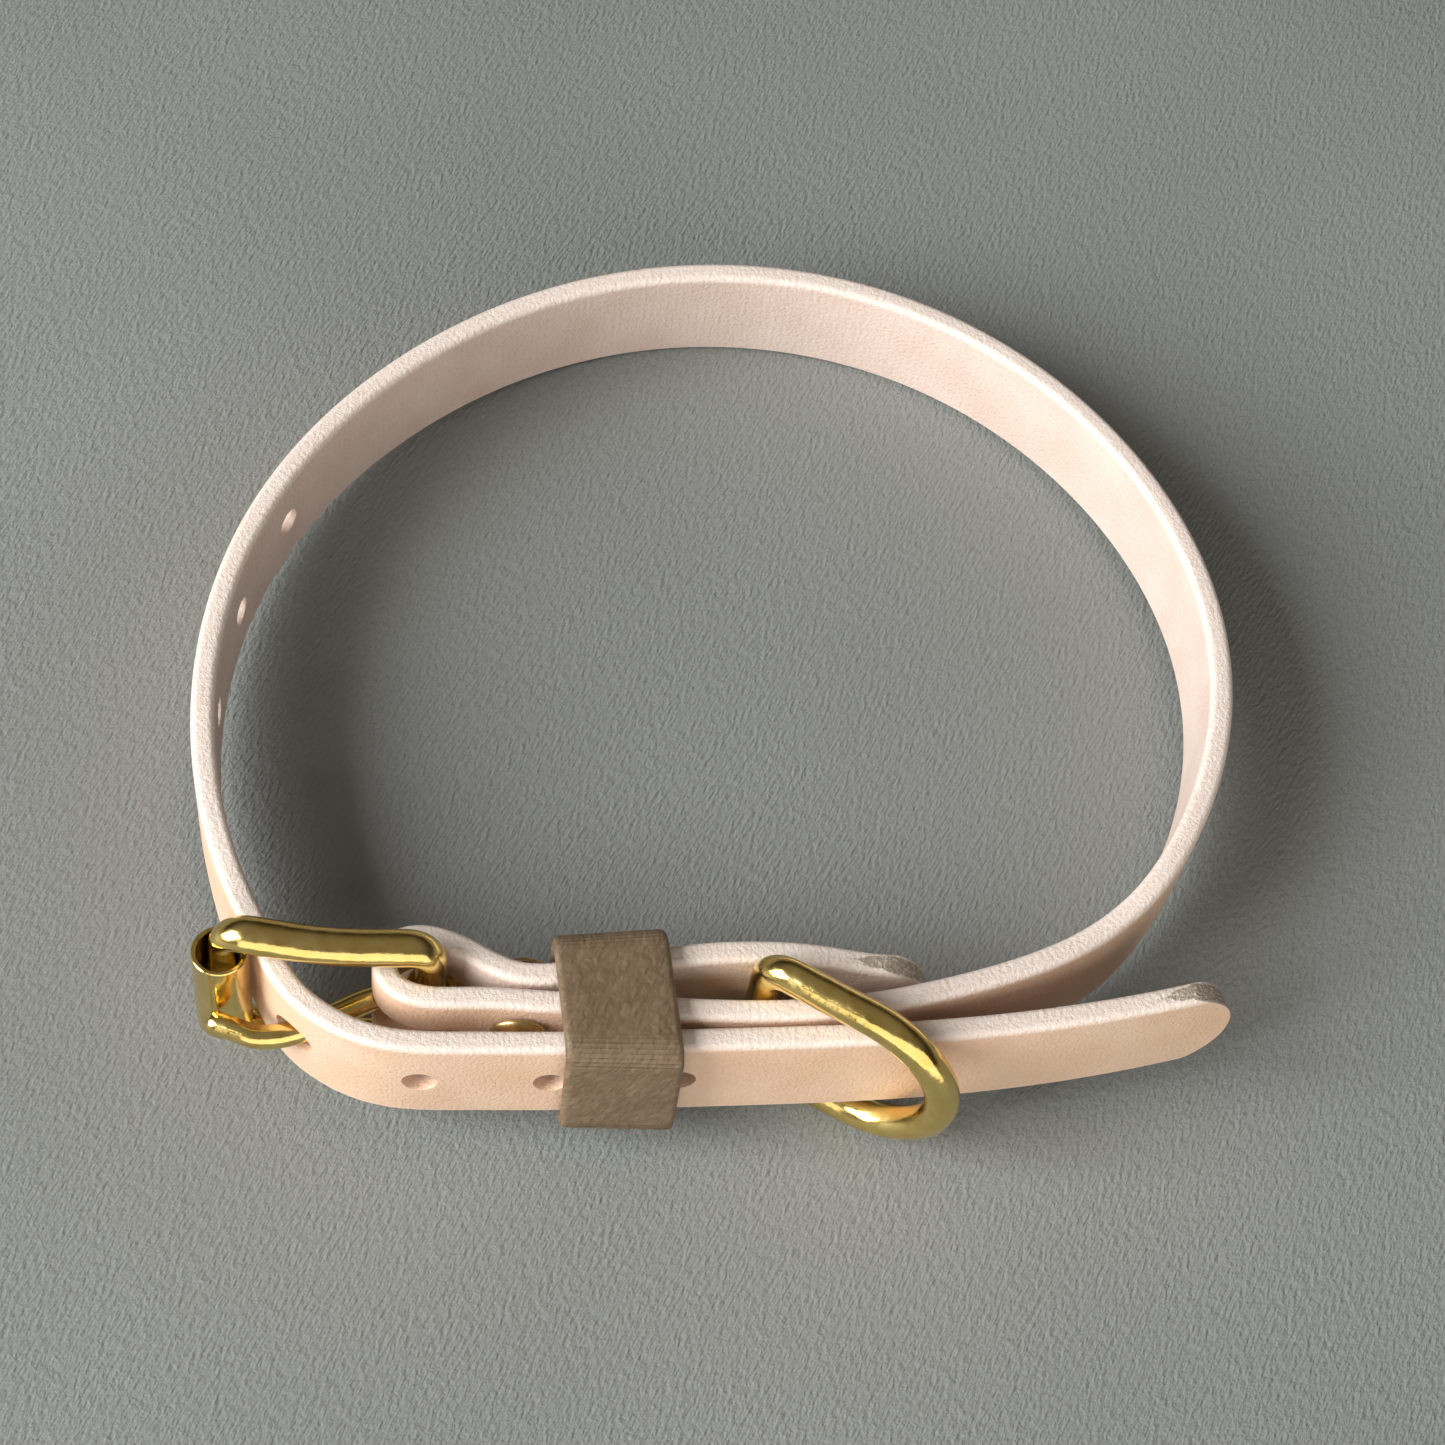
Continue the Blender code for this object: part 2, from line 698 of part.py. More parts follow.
def main():
    for old in list(bpy.data.objects):
        bpy.data.objects.remove(old, do_unlink=True)
    build_strap()
    build_frame()
    build_roller()
    build_prong()
    build_d_ring()
    build_keeper()
    for name in RIVETS:
        build_rivet(name)
    stand_on_floor()


main()
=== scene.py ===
# %% [markdown]
# # A dog collar in coated webbing
# The real collar is one strip of woven webbing with a soft plastic coat. It is punched, folded round
# the buckle and the D-ring, riveted, and closed through a leather keeper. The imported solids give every
# size and place. This lesson dresses them: each piece is modelled again with finer edges, and each
# finish is built from nodes. Modelling is done in millimetres at the origin, and each finished piece
# is then moved to where the collar stands, in metres.

import math

import bmesh
import bpy
from mathutils import Matrix, Vector


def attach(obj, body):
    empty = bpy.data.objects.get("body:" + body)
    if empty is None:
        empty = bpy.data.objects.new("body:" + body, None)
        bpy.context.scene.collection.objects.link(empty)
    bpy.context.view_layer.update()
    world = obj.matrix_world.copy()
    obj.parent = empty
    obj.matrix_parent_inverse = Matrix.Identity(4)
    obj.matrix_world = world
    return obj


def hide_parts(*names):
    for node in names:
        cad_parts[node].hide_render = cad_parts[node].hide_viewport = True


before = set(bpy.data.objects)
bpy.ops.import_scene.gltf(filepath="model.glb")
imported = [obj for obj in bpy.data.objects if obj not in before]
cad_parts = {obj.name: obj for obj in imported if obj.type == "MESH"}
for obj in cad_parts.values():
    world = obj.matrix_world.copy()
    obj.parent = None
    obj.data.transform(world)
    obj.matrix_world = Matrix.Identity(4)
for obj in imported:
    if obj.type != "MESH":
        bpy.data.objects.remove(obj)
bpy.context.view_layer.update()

# %% [markdown]
# ## Sizes
# The sizes repeat those of the solids, so that a dressed piece sits exactly where its solid is.
# The strap is described as it would be cut: a flat strip, and the line along which it is then laid.

# %% Sizes in millimetres
MM = 0.001
STRAP_WIDTH, STRAP_THICKNESS, STRAP_CORNER = 16.0, 3.0, 0.9
STRAP_LENGTH = 569.1
STRAP_START, STRAP_START_HEADING = (62.27, -41.34), 198.13
GAP = 0.3
HOLE_DIAMETER, HOLE_PITCH, FIRST_HOLE_FROM_TIP, HOLE_COUNT = 4.0, 15.4, 68.9, 9
PRONG_HOLE_NUMBER = 4
FRONT_LEAN, LEAN_AXIS_Y, LEAN_FROM_Y, LEAN_FULL_Y = 4.25, -48.0, -26.0, -38.0
REST_TILT = 2.95
STAND_SHIFT = Vector((1.4051895, -3.3486862, 3.2901821))
MID_Z = STRAP_WIDTH / 2

# %% The line the strap follows
# (share of STRAP_LENGTH, degrees turned along it), from the free tip to the riveted end.
STRAP_ROUTE = (
    (0.08397, -12.02), (0.07106, -3.12), (0.02078, -3.20), (0.01856, -27.93), (0.00601, -9.13),
    (0.01291, -23.96), (0.01132, 0.57), (0.01582, -7.90), (0.05416, -25.29), (0.06287, -31.33),
    (0.05369, -23.71), (0.06338, -31.24), (0.06207, -33.32), (0.06704, -35.25), (0.05569, -34.17),
    (0.03714, -22.39), (0.03323, -28.20), (0.03480, -11.86), (0.03854, -13.33), (0.04218, -2.77),
    (0.01934, -4.73), (0.00550, -23.31), (0.00507, -40.65), (0.00467, -37.97), (0.00459, -42.99),
    (0.00510, -31.30), (0.00540, -17.21), (0.00582, -8.54), (0.00645, 6.53), (0.00629, 20.37),
    (0.01753, 14.06), (0.03213, -10.32), (0.02118, -8.46), (0.01572, 20.77),
)


def smooth_value(knots, values, at):
    """Smooth value between table rows, with slopes taken from the rows on either side."""
    last = len(knots) - 2
    slopes = [(values[i + 1] - values[i]) / (knots[i + 1] - knots[i]) for i in range(last + 1)]
    tangents = [slopes[0]]
    for i in range(1, last + 1):
        before, after = knots[i] - knots[i - 1], knots[i + 1] - knots[i]
        tangents.append((slopes[i - 1] * after + slopes[i] * before) / (before + after))
    tangents.append(slopes[-1])
    k = 0
    while k < last and at >= knots[k + 1]:
        k += 1
    step = knots[k + 1] - knots[k]
    u = (at - knots[k]) / step
    return (
        values[k] * (1 + 2 * u) * (1 - u) ** 2
        + tangents[k] * step * u * (1 - u) ** 2
        + values[k + 1] * u * u * (3 - 2 * u)
        + tangents[k + 1] * step * u * u * (u - 1)
    )


def walk_route(step=0.25):
    """Points of the strap's centre line: (distance from the tip, x, y, heading in radians)."""
    knots, headings = [0.0], [STRAP_START_HEADING]
    for share, turn in STRAP_ROUTE:
        knots.append(knots[-1] + share * STRAP_LENGTH)
        headings.append(headings[-1] + turn)
    count = math.ceil(knots[-1] / step)
    step = knots[-1] / count
    x, y = STRAP_START
    rows = []
    for i in range(count + 1):
        s = i * step
        rows.append((s, x, y, math.radians(smooth_value(knots, headings, min(s, knots[-1])))))
        middle = math.radians(smooth_value(knots, headings, min(s + step / 2, knots[-1])))
        x += math.cos(middle) * step
        y += math.sin(middle) * step
    return rows


ROUTE = walk_route()
print("route:", round(ROUTE[-1][0], 1), "mm, ends at", [round(v, 1) for v in ROUTE[-1][1:3]])


def on_route(s):
    """Point and heading on the centre line at a distance from the tip."""
    at = max(0.0, min(s, ROUTE[-1][0])) / (ROUTE[1][0] - ROUTE[0][0])
    i = min(int(at), len(ROUTE) - 2)
    u = at - i
    return tuple(ROUTE[i][k] * (1 - u) + ROUTE[i + 1][k] * u for k in (1, 2, 3))


def stand(point):
    """From the plan, in millimetres, to where the collar stands on the floor, in metres."""
    x, y, z = point
    share = max(0.0, min((LEAN_FROM_Y - y) / (LEAN_FROM_Y - LEAN_FULL_Y), 1.0))
    share = share * share * (3 - 2 * share)
    centre = Vector((0.0, LEAN_AXIS_Y, MID_Z))
    lean = Matrix.Rotation(math.radians(-FRONT_LEAN * share), 3, "X")
    leaned = centre + lean @ (Vector((x, y, z)) - centre)
    return (Matrix.Rotation(math.radians(-REST_TILT), 3, "X") @ leaned + STAND_SHIFT) * MM


# %% [markdown]
# ## Tools of the bench
# Blender's operators act on what is selected, so each helper selects by place first. A wire is
# drawn as by hand: a circle is extruded straight and spun round each bend.

# %% Helpers for modelling
def fresh(name):
    piece = bpy.context.object
    piece.name = name
    piece.data.name = name
    bpy.ops.object.transform_apply(location=True, rotation=True, scale=True)
    return piece


def clear_selection():
    if bpy.context.mode != "OBJECT":
        bpy.ops.object.mode_set(mode="OBJECT")
    bpy.ops.object.select_all(action="DESELECT")


def pick(kind, test):
    """In edit mode, selects the elements of one kind (VERT, EDGE, FACE) that pass a test of place."""
    if bpy.context.mode != "EDIT_MESH":
        bpy.ops.object.mode_set(mode="EDIT")
    bpy.ops.mesh.select_mode(type=kind)
    bpy.ops.mesh.select_all(action="DESELECT")
    shape = bmesh.from_edit_mesh(bpy.context.object.data)
    found = {"VERT": shape.verts, "EDGE": shape.edges, "FACE": shape.faces}[kind]
    count = 0
    for item in found:
        if test(item):
            item.select_set(True)
            count += 1
    bmesh.update_edit_mesh(bpy.context.object.data)
    return count


def close_up(piece, distance=0.001):
    """Merges doubled points and turns every face outwards."""
    if bpy.context.mode != "EDIT_MESH":
        bpy.ops.object.mode_set(mode="EDIT")
    bpy.ops.mesh.select_all(action="SELECT")
    bpy.ops.mesh.remove_doubles(threshold=distance)
    bpy.ops.mesh.normals_make_consistent(inside=False)
    bpy.ops.object.mode_set(mode="OBJECT")
    return piece


def start_wire(name, centre, along, diameter, sides=32):
    clear_selection()
    turn = Vector((0, 0, 1)).rotation_difference(Vector(along)).to_euler()
    bpy.ops.mesh.primitive_circle_add(vertices=sides, radius=diameter / 2, location=centre, rotation=turn)
    wire = fresh(name)
    bpy.ops.object.mode_set(mode="EDIT")
    bpy.ops.mesh.select_mode(type="VERT")
    bpy.ops.mesh.select_all(action="SELECT")
    return wire


def run_wire(move, steps=1):
    for _ in range(steps):
        bpy.ops.mesh.extrude_region_move(
            TRANSFORM_OT_translate={"value": tuple(part / steps for part in move)}
        )


def ring_centre():
    shape = bmesh.from_edit_mesh(bpy.context.object.data)
    points = [v.co for v in shape.verts if v.select]
    return sum(points, Vector()) / len(points)


def bend_wire(centre, axis, degrees, steps, grow=1.0):
    """Spins the end ring about an axis, right-handed, while its diameter grows by a factor."""
    for _ in range(steps):
        bpy.ops.mesh.spin(steps=1, angle=-math.radians(degrees / steps), center=centre, axis=axis)
        if grow != 1.0:
            factor = grow ** (1 / steps)
            bpy.ops.transform.resize(value=(factor,) * 3, center_override=ring_centre())


def lathe(name, profile, steps=48):
    """Turns a profile of (radius, height) about the Z axis, from a single point extruded along it."""
    clear_selection()
    radius, height = profile[0]
    bpy.ops.mesh.primitive_plane_add(size=0.1, location=(radius, 0, height))
    piece = fresh(name)
    bpy.ops.object.mode_set(mode="EDIT")
    bpy.ops.mesh.select_mode(type="VERT")
    bpy.ops.mesh.select_all(action="SELECT")
    bpy.ops.mesh.merge(type="CENTER")
    for (r0, z0), (r1, z1) in zip(profile, profile[1:]):
        bpy.ops.mesh.extrude_region_move(TRANSFORM_OT_translate={"value": (r1 - r0, 0, z1 - z0)})
    bpy.ops.mesh.select_all(action="SELECT")
    bpy.ops.mesh.spin(steps=steps, angle=2 * math.pi, center=(0, 0, 0), axis=(0, 0, 1))
    return close_up(piece)


def lay(piece, to_plan):
    """Moves each point by a function to the plan, then to where the collar stands."""
    for point in piece.data.vertices:
        point.co = stand(to_plan(point.co))
    piece.data.update()


def in_frame(origin, along, up=(0, 0, 1)):
    """A function from a piece's own axes to the plan: X goes along, Z goes up, Y lies across."""
    x = Vector(along).normalized()
    z = Vector(up)
    y = z.cross(x)
    centre = Vector(origin)
    return lambda p: centre + x * p[0] + y * p[1] + z * p[2]


def face_outwards(piece):
    """Turns all the faces round if the volume that they enclose comes out negative."""
    shape = bmesh.new()
    shape.from_mesh(piece.data)
    volume = shape.calc_volume(signed=True)
    open_edges = sum(1 for edge in shape.edges if len(edge.link_faces) != 2)
    shape.free()
    if volume < 0:
        bpy.ops.object.mode_set(mode="EDIT")
        bpy.ops.mesh.select_all(action="SELECT")
        bpy.ops.mesh.flip_normals()
        bpy.ops.object.mode_set(mode="OBJECT")
    print(piece.name, "holds", round(abs(volume) / MM**3), "cubic mm, open edges:", open_edges)


def dress(piece, body, node, finish, angle=35):
    """Smooth shading by angle, its finish, the body it rides on and the solid it stands for."""
    clear_selection()
    piece.select_set(True)
    bpy.context.view_layer.objects.active = piece
    face_outwards(piece)
    bpy.ops.object.shade_smooth_by_angle(angle=math.radians(angle))
    if not piece.data.materials:
        piece.data.materials.append(finish)
    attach(piece, body)
    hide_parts(node)
    print(piece.name, len(piece.data.polygons), "faces")


# %% [markdown]
# ## Nodes
# One small function adds a node with its settings and its links, and one turns a colour as a
# designer writes it, in sRGB hex, into the linear values that the renderer works in.

# %% Helpers for finishes
def colour(code):
    parts = [int(code[i : i + 2], 16) / 255 for i in (0, 2, 4)]
    linear = [p / 12.92 if p <= 0.04045 else ((p + 0.055) / 1.055) ** 2.4 for p in parts]
    return (*linear, 1.0)


def node(tree, kind, sockets=None, stops=(), **settings):
    """Adds a node. Settings are its properties, and sockets are its inputs, as values or links.

    Stops are the places and colours of a colour ramp."""
    made = tree.nodes.new(kind)
    for key, value in settings.items():
        setattr(made, key, value)
    for key, value in (sockets or {}).items():
        if isinstance(value, bpy.types.NodeSocket):
            tree.links.new(value, made.inputs[key])
        else:
            made.inputs[key].default_value = value
    for i, (position, code) in enumerate(stops):
        marks = made.color_ramp.elements
        mark = marks[i] if i < len(marks) else marks.new(position)
        mark.position, mark.color = position, colour(code)
    return made


def finish(name):
    """A new material: (material, tree, shader)."""
    made = bpy.data.materials.new(name)
    made.use_nodes = True
    tree = made.node_tree
    return made, tree, tree.nodes["Principled BSDF"]


# %% [markdown]
# ## Camera, floor and light
# The photograph was taken from above the front, a little to its left. Fitting the strap's edge all
# round the loop gave this camera. Daylight comes from a window on the left and from a pale wall low
# in front, and the ceiling is dim. Polished metal shows all three as bands along each bar, so the
# room is as important to the gold as the gold itself.

# %% Camera
camera = bpy.data.objects.new("camera", bpy.data.cameras.new("camera"))
bpy.context.scene.collection.objects.link(camera)
bpy.context.scene.camera = camera
camera.matrix_world = Matrix(
    (
        (0.9951577, -0.0599911, -0.0778604, -0.0283606),
        (0.0186424, 0.8929608, -0.4497480, -0.1752856),
        (0.0965072, 0.4461187, 0.8897553, 0.3434402),
        (0.0, 0.0, 0.0, 1.0),
    )
)
camera.data.sensor_width = 36
camera.data.lens = 72.3214
camera.data.clip_start = 0.005
bpy.context.scene.view_settings.view_transform = "Standard"

# %% Floor
# A grey desk mat embossed like leather. Its grain is drawn out steeply across it, about 1.2 mm
# long and 0.5 mm wide, and a faint tooth lies over it.
GRAIN_TURN, GRAIN_STRETCH = 1.05, 2.4
bpy.ops.mesh.primitive_plane_add(size=3.0, location=(0, 0, 0))
floor = fresh("floor")
mat, tree, shader = finish("embossed_grey_desk_mat")
place = node(tree, "ShaderNodeTexCoord").outputs["Object"]
slant = node(
    tree, "ShaderNodeMapping",
    {"Vector": place, "Rotation": (0, 0, GRAIN_TURN), "Scale": (GRAIN_STRETCH, 1.0, 1.0)},
    vector_type="TEXTURE",
)
grain = node(tree, "ShaderNodeTexNoise", {"Vector": slant.outputs[0], "Scale": 1900.0, "Detail": 2.0})
tooth = node(tree, "ShaderNodeTexNoise", {"Vector": place, "Scale": 2500.0, "Detail": 2.0})
cloud = node(tree, "ShaderNodeTexNoise", {"Vector": place, "Scale": 9.0, "Detail": 2.0})
height = node(
    tree, "ShaderNodeMath", {0: tooth.outputs[0], 1: 0.3, 2: grain.outputs[0]}, operation="MULTIPLY_ADD"
)
bump = node(tree, "ShaderNodeBump", {"Height": height.outputs[0], "Strength": 0.85, "Distance": 0.0004})
both = node(
    tree, "ShaderNodeMath", {0: height.outputs[0], 1: 0.4, 2: cloud.outputs[0]}, operation="MULTIPLY_ADD"
)
tone = node(tree, "ShaderNodeValToRGB", {0: both.outputs[0]}, ((0.55, "7E8281"), (1.0, "8B8F8E")))
shader.inputs["Roughness"].default_value = 0.7
tree.links.new(tone.outputs[0], shader.inputs["Base Color"])
tree.links.new(bump.outputs[0], shader.inputs["Normal"])
floor.data.materials.append(mat)

# %% Light
world = bpy.data.worlds.new("soft_room")
bpy.context.scene.world = world
world.use_nodes = True
room = world.node_tree
direction = node(room, "ShaderNodeTexCoord").outputs["Generated"]
up = node(room, "ShaderNodeSeparateXYZ", {0: direction}).outputs["Z"]
# The share is how far up one looks, from the horizon to straight above.
walls = (
    (0.0, "A39C92"), (0.16, "8F887D"), (0.27, "2C2620"), (0.5, "4A433B"), (0.8, "807A72"), (1.0, "8A847C"),
)
room_tone = node(room, "ShaderNodeValToRGB", {0: up}, walls).outputs[0]
room.links.new(room_tone, room.nodes["Background"].inputs["Color"])
room.nodes["Background"].inputs["Strength"].default_value = 0.85


def soft_light(name, place, aim, size, power, tint):
    lamp = bpy.data.objects.new(name, bpy.data.lights.new(name, "AREA"))
    bpy.context.scene.collection.objects.link(lamp)
    lamp.data.shape = "RECTANGLE"
    lamp.data.size, lamp.data.size_y = size
    lamp.data.energy = power
    lamp.data.color = colour(tint)[:3]
    lamp.location = place
    lamp.rotation_euler = (Vector(aim) - Vector(place)).to_track_quat("-Z", "Y").to_euler()
    return lamp


soft_light("window", (-2.4, -0.7, 1.6), (0, 0, 0), (1.85, 1.85), 139.0, "FFFEFA")
soft_light("pale_wall", (0.2, -1.2, 0.5), (0, 0, 0.01), (2.4, 1.2), 13.0, "FFF9F0")

# %% [markdown]
# ## Finish: coated webbing
# The strap is polyester webbing run through a bath of soft PVC and embossed with a fine pebble. It
# gives the eye a satin skin. Its tones are the coat's own pale colour with painted light: peach on the
# outer face, where warm light falls from the front, paler and pinker on the inner one, and a painted
# highlight, almost white, over the edges, where the light from above falls. The ribs of the webbing
# show faintly on the inside. The flat attribute keeps each point's place on the strip as it was cut, in
# millimetres (along, through, across), so the pattern follows every bend without stretching.

# %% Coat
coat, tree, shader = finish("embossed_soft_pvc_coat")
flat = node(tree, "ShaderNodeAttribute", attribute_name="flat").outputs["Vector"]
_, through, across = node(tree, "ShaderNodeSeparateXYZ", {0: flat}).outputs
# Pebbles are 0.5 mm across, a little larger than real ones, so that they show.
pebble = node(tree, "ShaderNodeTexNoise", {"Vector": flat, "Scale": 2.0, "Detail": 3.0, "Roughness": 0.6})
mottle = node(tree, "ShaderNodeTexNoise", {"Vector": flat, "Scale": 0.12, "Detail": 3.0})
drawn = node(tree, "ShaderNodeMapping", {"Vector": flat, "Scale": (0.45, 1.0, 1.0)})
streak = node(
    tree, "ShaderNodeTexNoise", {"Vector": drawn.outputs[0], "Scale": 1.3, "Detail": 4.0, "Roughness": 0.65}
)
ribs = node(
    tree, "ShaderNodeTexWave", {"Vector": flat, "Scale": 0.28, "Distortion": 1.6, "Detail": 1.0},
    bands_direction="X",
)
# Painted light: the outer face's peach stands for warm light from the front, and the edge tone is a painted
# highlight from the light above.
peach = ((0.3, "E4C0A4"), (0.7, "EBCCB4"))
blush = ((0.3, "E0CABF"), (0.7, "E9D7CE"))
edge_highlight_cream = ((0.3, "EAD9D0"), (0.65, "F2E6DF"))
outer = node(tree, "ShaderNodeValToRGB", {0: mottle.outputs[0]}, peach).outputs[0]
inner = node(tree, "ShaderNodeValToRGB", {0: mottle.outputs[0]}, blush).outputs[0]
side = node(tree, "ShaderNodeMapRange", {0: through, 1: -0.6, 2: 0.6}).outputs[0]
faces = node(tree, "ShaderNodeMix", {0: side, 6: inner, 7: outer}, data_type="RGBA").outputs[2]
# Painted highlight over the edges, streaked along the strip.
edge = node(tree, "ShaderNodeValToRGB", {0: streak.outputs[0]}, edge_highlight_cream).outputs[0]
reach = node(tree, "ShaderNodeMath", {0: across}, operation="ABSOLUTE").outputs[0]
on_edge = node(tree, "ShaderNodeMapRange", {0: reach, 1: 6.9, 2: 7.75}).outputs[0]
skin = node(tree, "ShaderNodeMix", {0: on_edge, 6: faces, 7: edge}, data_type="RGBA").outputs[2]
# Painted shade darkens the hollows between pebbles, with a darker tone of the coat. None is painted over
# the edges.
PEBBLE_SHADE_SHARE = 0.22
hollow = node(
    tree, "ShaderNodeMapRange", {0: pebble.outputs[0], 1: 0.48, 2: 0.3, 3: 0.0, 4: PEBBLE_SHADE_SHARE}
).outputs[0]
pebble_shade_mask = node(tree, "ShaderNodeMapRange", {0: on_edge, 1: 0.0, 2: 1.0, 3: hollow, 4: 0.0}).outputs[0]
pebble_shade = colour("B08A70")
tone = node(tree, "ShaderNodeMix", {0: pebble_shade_mask, 6: skin, 7: pebble_shade}, data_type="RGBA").outputs[2]
tree.links.new(tone, shader.inputs["Base Color"])
gloss = node(tree, "ShaderNodeMapRange", {0: streak.outputs[0], 1: 0.3, 2: 0.7, 3: 0.42, 4: 0.56})
tree.links.new(gloss.outputs[0], shader.inputs["Roughness"])
shader.inputs["IOR"].default_value = 1.5
inside = node(tree, "ShaderNodeMapRange", {0: side, 1: 0.0, 2: 1.0, 3: 0.02, 4: 0.003}).outputs[0]
rib_relief = node(
    tree, "ShaderNodeMath", {0: ribs.outputs["Fac"], 1: inside}, operation="MULTIPLY"
).outputs[0]
relief = node(
    tree, "ShaderNodeMath", {0: pebble.outputs[0], 1: 0.26, 2: rib_relief}, operation="MULTIPLY_ADD"
)
bump = node(tree, "ShaderNodeBump", {"Height": relief.outputs[0], "Strength": 0.7, "Distance": 0.001})
tree.links.new(bump.outputs[0], shader.inputs["Normal"])

# %% [markdown]
# ## Finish: the cut core
# Where the strip is cut, the grey-brown webbing shows between two skins of coat, sealed with a
# glossy lacquer. The knife trims the edge a little before the end, so the core opens as a lens.

# %% Cut core
# The lens opens between these distances from the end, to this half width through the strip.
LENS_START, LENS_FULL, LENS_HALF = 10.2, 6.8, 1.2
core, tree, shader = finish("cut_webbing_sealed_with_lacquer")
flat = node(tree, "ShaderNodeAttribute", attribute_name="flat").outputs["Vector"]
along, through, _ = node(tree, "ShaderNodeSeparateXYZ", {0: flat}).outputs
fibre = node(tree, "ShaderNodeTexNoise", {"Vector": flat, "Scale": 2.2, "Detail": 4.0})
# The near-white top stop of this ramp paints highlights: the glossy shine of the lacquer on the core.
webbing = node(
    tree, "ShaderNodeValToRGB", {0: fibre.outputs[0]}, ((0.35, "A39687"), (0.55, "BBAF9F"), (0.7, "F4EEE4"))
).outputs[0]
to_end = node(tree, "ShaderNodeMath", {0: STRAP_LENGTH, 1: along}, operation="SUBTRACT").outputs[0]
nearest = node(tree, "ShaderNodeMath", {0: along, 1: to_end}, operation="MINIMUM").outputs[0]
lens = node(
    tree, "ShaderNodeMapRange", {0: nearest, 1: LENS_START, 2: LENS_FULL, 3: 0.0, 4: LENS_HALF},
    interpolation_type="SMOOTHSTEP",
)
depth = node(tree, "ShaderNodeMath", {0: through}, operation="ABSOLUTE").outputs[0]
past = node(tree, "ShaderNodeMath", {0: depth, 1: lens.outputs[0]}, operation="SUBTRACT").outputs[0]
skin = node(tree, "ShaderNodeMapRange", {0: past, 1: -0.12, 2: 0.12}).outputs[0]
# The coat round the core takes the painted highlight tone of the edges.
rim = node(tree, "ShaderNodeValToRGB", {0: fibre.outputs[0]}, edge_highlight_cream).outputs[0]
tone = node(tree, "ShaderNodeMix", {0: skin, 6: webbing, 7: rim}, data_type="RGBA").outputs[2]
tree.links.new(tone, shader.inputs["Base Color"])
gloss = node(tree, "ShaderNodeMapRange", {0: skin, 1: 0.0, 2: 1.0, 3: 0.22, 4: 0.45})
tree.links.new(gloss.outputs[0], shader.inputs["Roughness"])
bump = node(tree, "ShaderNodeBump", {"Height": fibre.outputs[0], "Strength": 0.8, "Distance": 0.0004})
tree.links.new(bump.outputs[0], shader.inputs["Normal"])

# %% [markdown]
# ## The strap
# A long box is rounded along its four edges and divided along its length. Every cut is made while
# it is still flat, as at the bench: the round ends, the punched holes, the rivet holes, the slot
# for the prong. Only then is it laid along its route.

# %% Flat strip
clear_selection()
bpy.ops.mesh.primitive_cube_add(
    size=1, scale=(STRAP_LENGTH, STRAP_THICKNESS, STRAP_WIDTH), location=(STRAP_LENGTH / 2, 0, 0)
)
strap = fresh("strap_dressed")


def runs_along(edge):
    a, b = (v.co for v in edge.verts)
    return abs(a.x - b.x) > 0.1 and abs(a.y - b.y) + abs(a.z - b.z) < 1e-4


pick("EDGE", runs_along)
bpy.ops.mesh.bevel(offset=STRAP_CORNER, offset_type="OFFSET", segments=6, affect="EDGES")
for _ in range(2):
    pick("EDGE", runs_along)
    bpy.ops.mesh.subdivide(number_cuts=24)
bpy.ops.object.mode_set(mode="OBJECT")
print("flat strip:", len(strap.data.polygons), "faces")


# %% Cutters for the strip
PUNCH_SLOPE, PUNCH_PAST = 0.35, 1


def punch(name, s, diameter, stretch=1.0, flare=0.0, rise=0.0):
    """A punch for a hole through the strip, stretched along it or raised across it if asked."""
    half, radius = STRAP_THICKNESS / 2, diameter / 2
    profile = [(0, -half - PUNCH_PAST), (radius + 2 * flare, -half - PUNCH_PAST)]
    if flare > 0:
        profile += [(radius + 2 * flare, -half - PUNCH_SLOPE), (radius, PUNCH_SLOPE - half)]
    profile += [(r, -z) for r, z in reversed(profile)]
    cutter = lathe(name, profile, 32)
    bpy.ops.object.mode_set(mode="EDIT")
    bpy.ops.mesh.select_all(action="SELECT")
    bpy.ops.transform.rotate(value=math.pi / 2, orient_axis="X", center_override=(0, 0, 0))
    bpy.ops.transform.resize(value=(stretch, 1, 1), center_override=(0, 0, 0))
    bpy.ops.transform.translate(value=(s, 0, rise))
    bpy.ops.object.mode_set(mode="OBJECT")
    return cutter


def box_cutter(name, first, last, height):
    clear_selection()
    bpy.ops.mesh.primitive_cube_add(
        size=1, scale=(last - first, STRAP_THICKNESS * 3, height), location=((first + last) / 2, 0, 0)
    )
    return fresh(name)


def route_at_x(x, first, last):
    rows = [row for row in ROUTE if first <= row[0] <= last]
    return min(rows, key=lambda row: abs(row[1] - x))[0]


def carve(piece, cutter, operation="DIFFERENCE"):
    cut = piece.modifiers.new("cut", "BOOLEAN")
    cut.operation, cut.solver, cut.object = operation, "EXACT", cutter
    clear_selection()
    piece.select_set(True)
    bpy.context.view_layer.objects.active = piece
    bpy.ops.object.modifier_apply(modifier=cut.name)
    bpy.data.objects.remove(cutter, do_unlink=True)


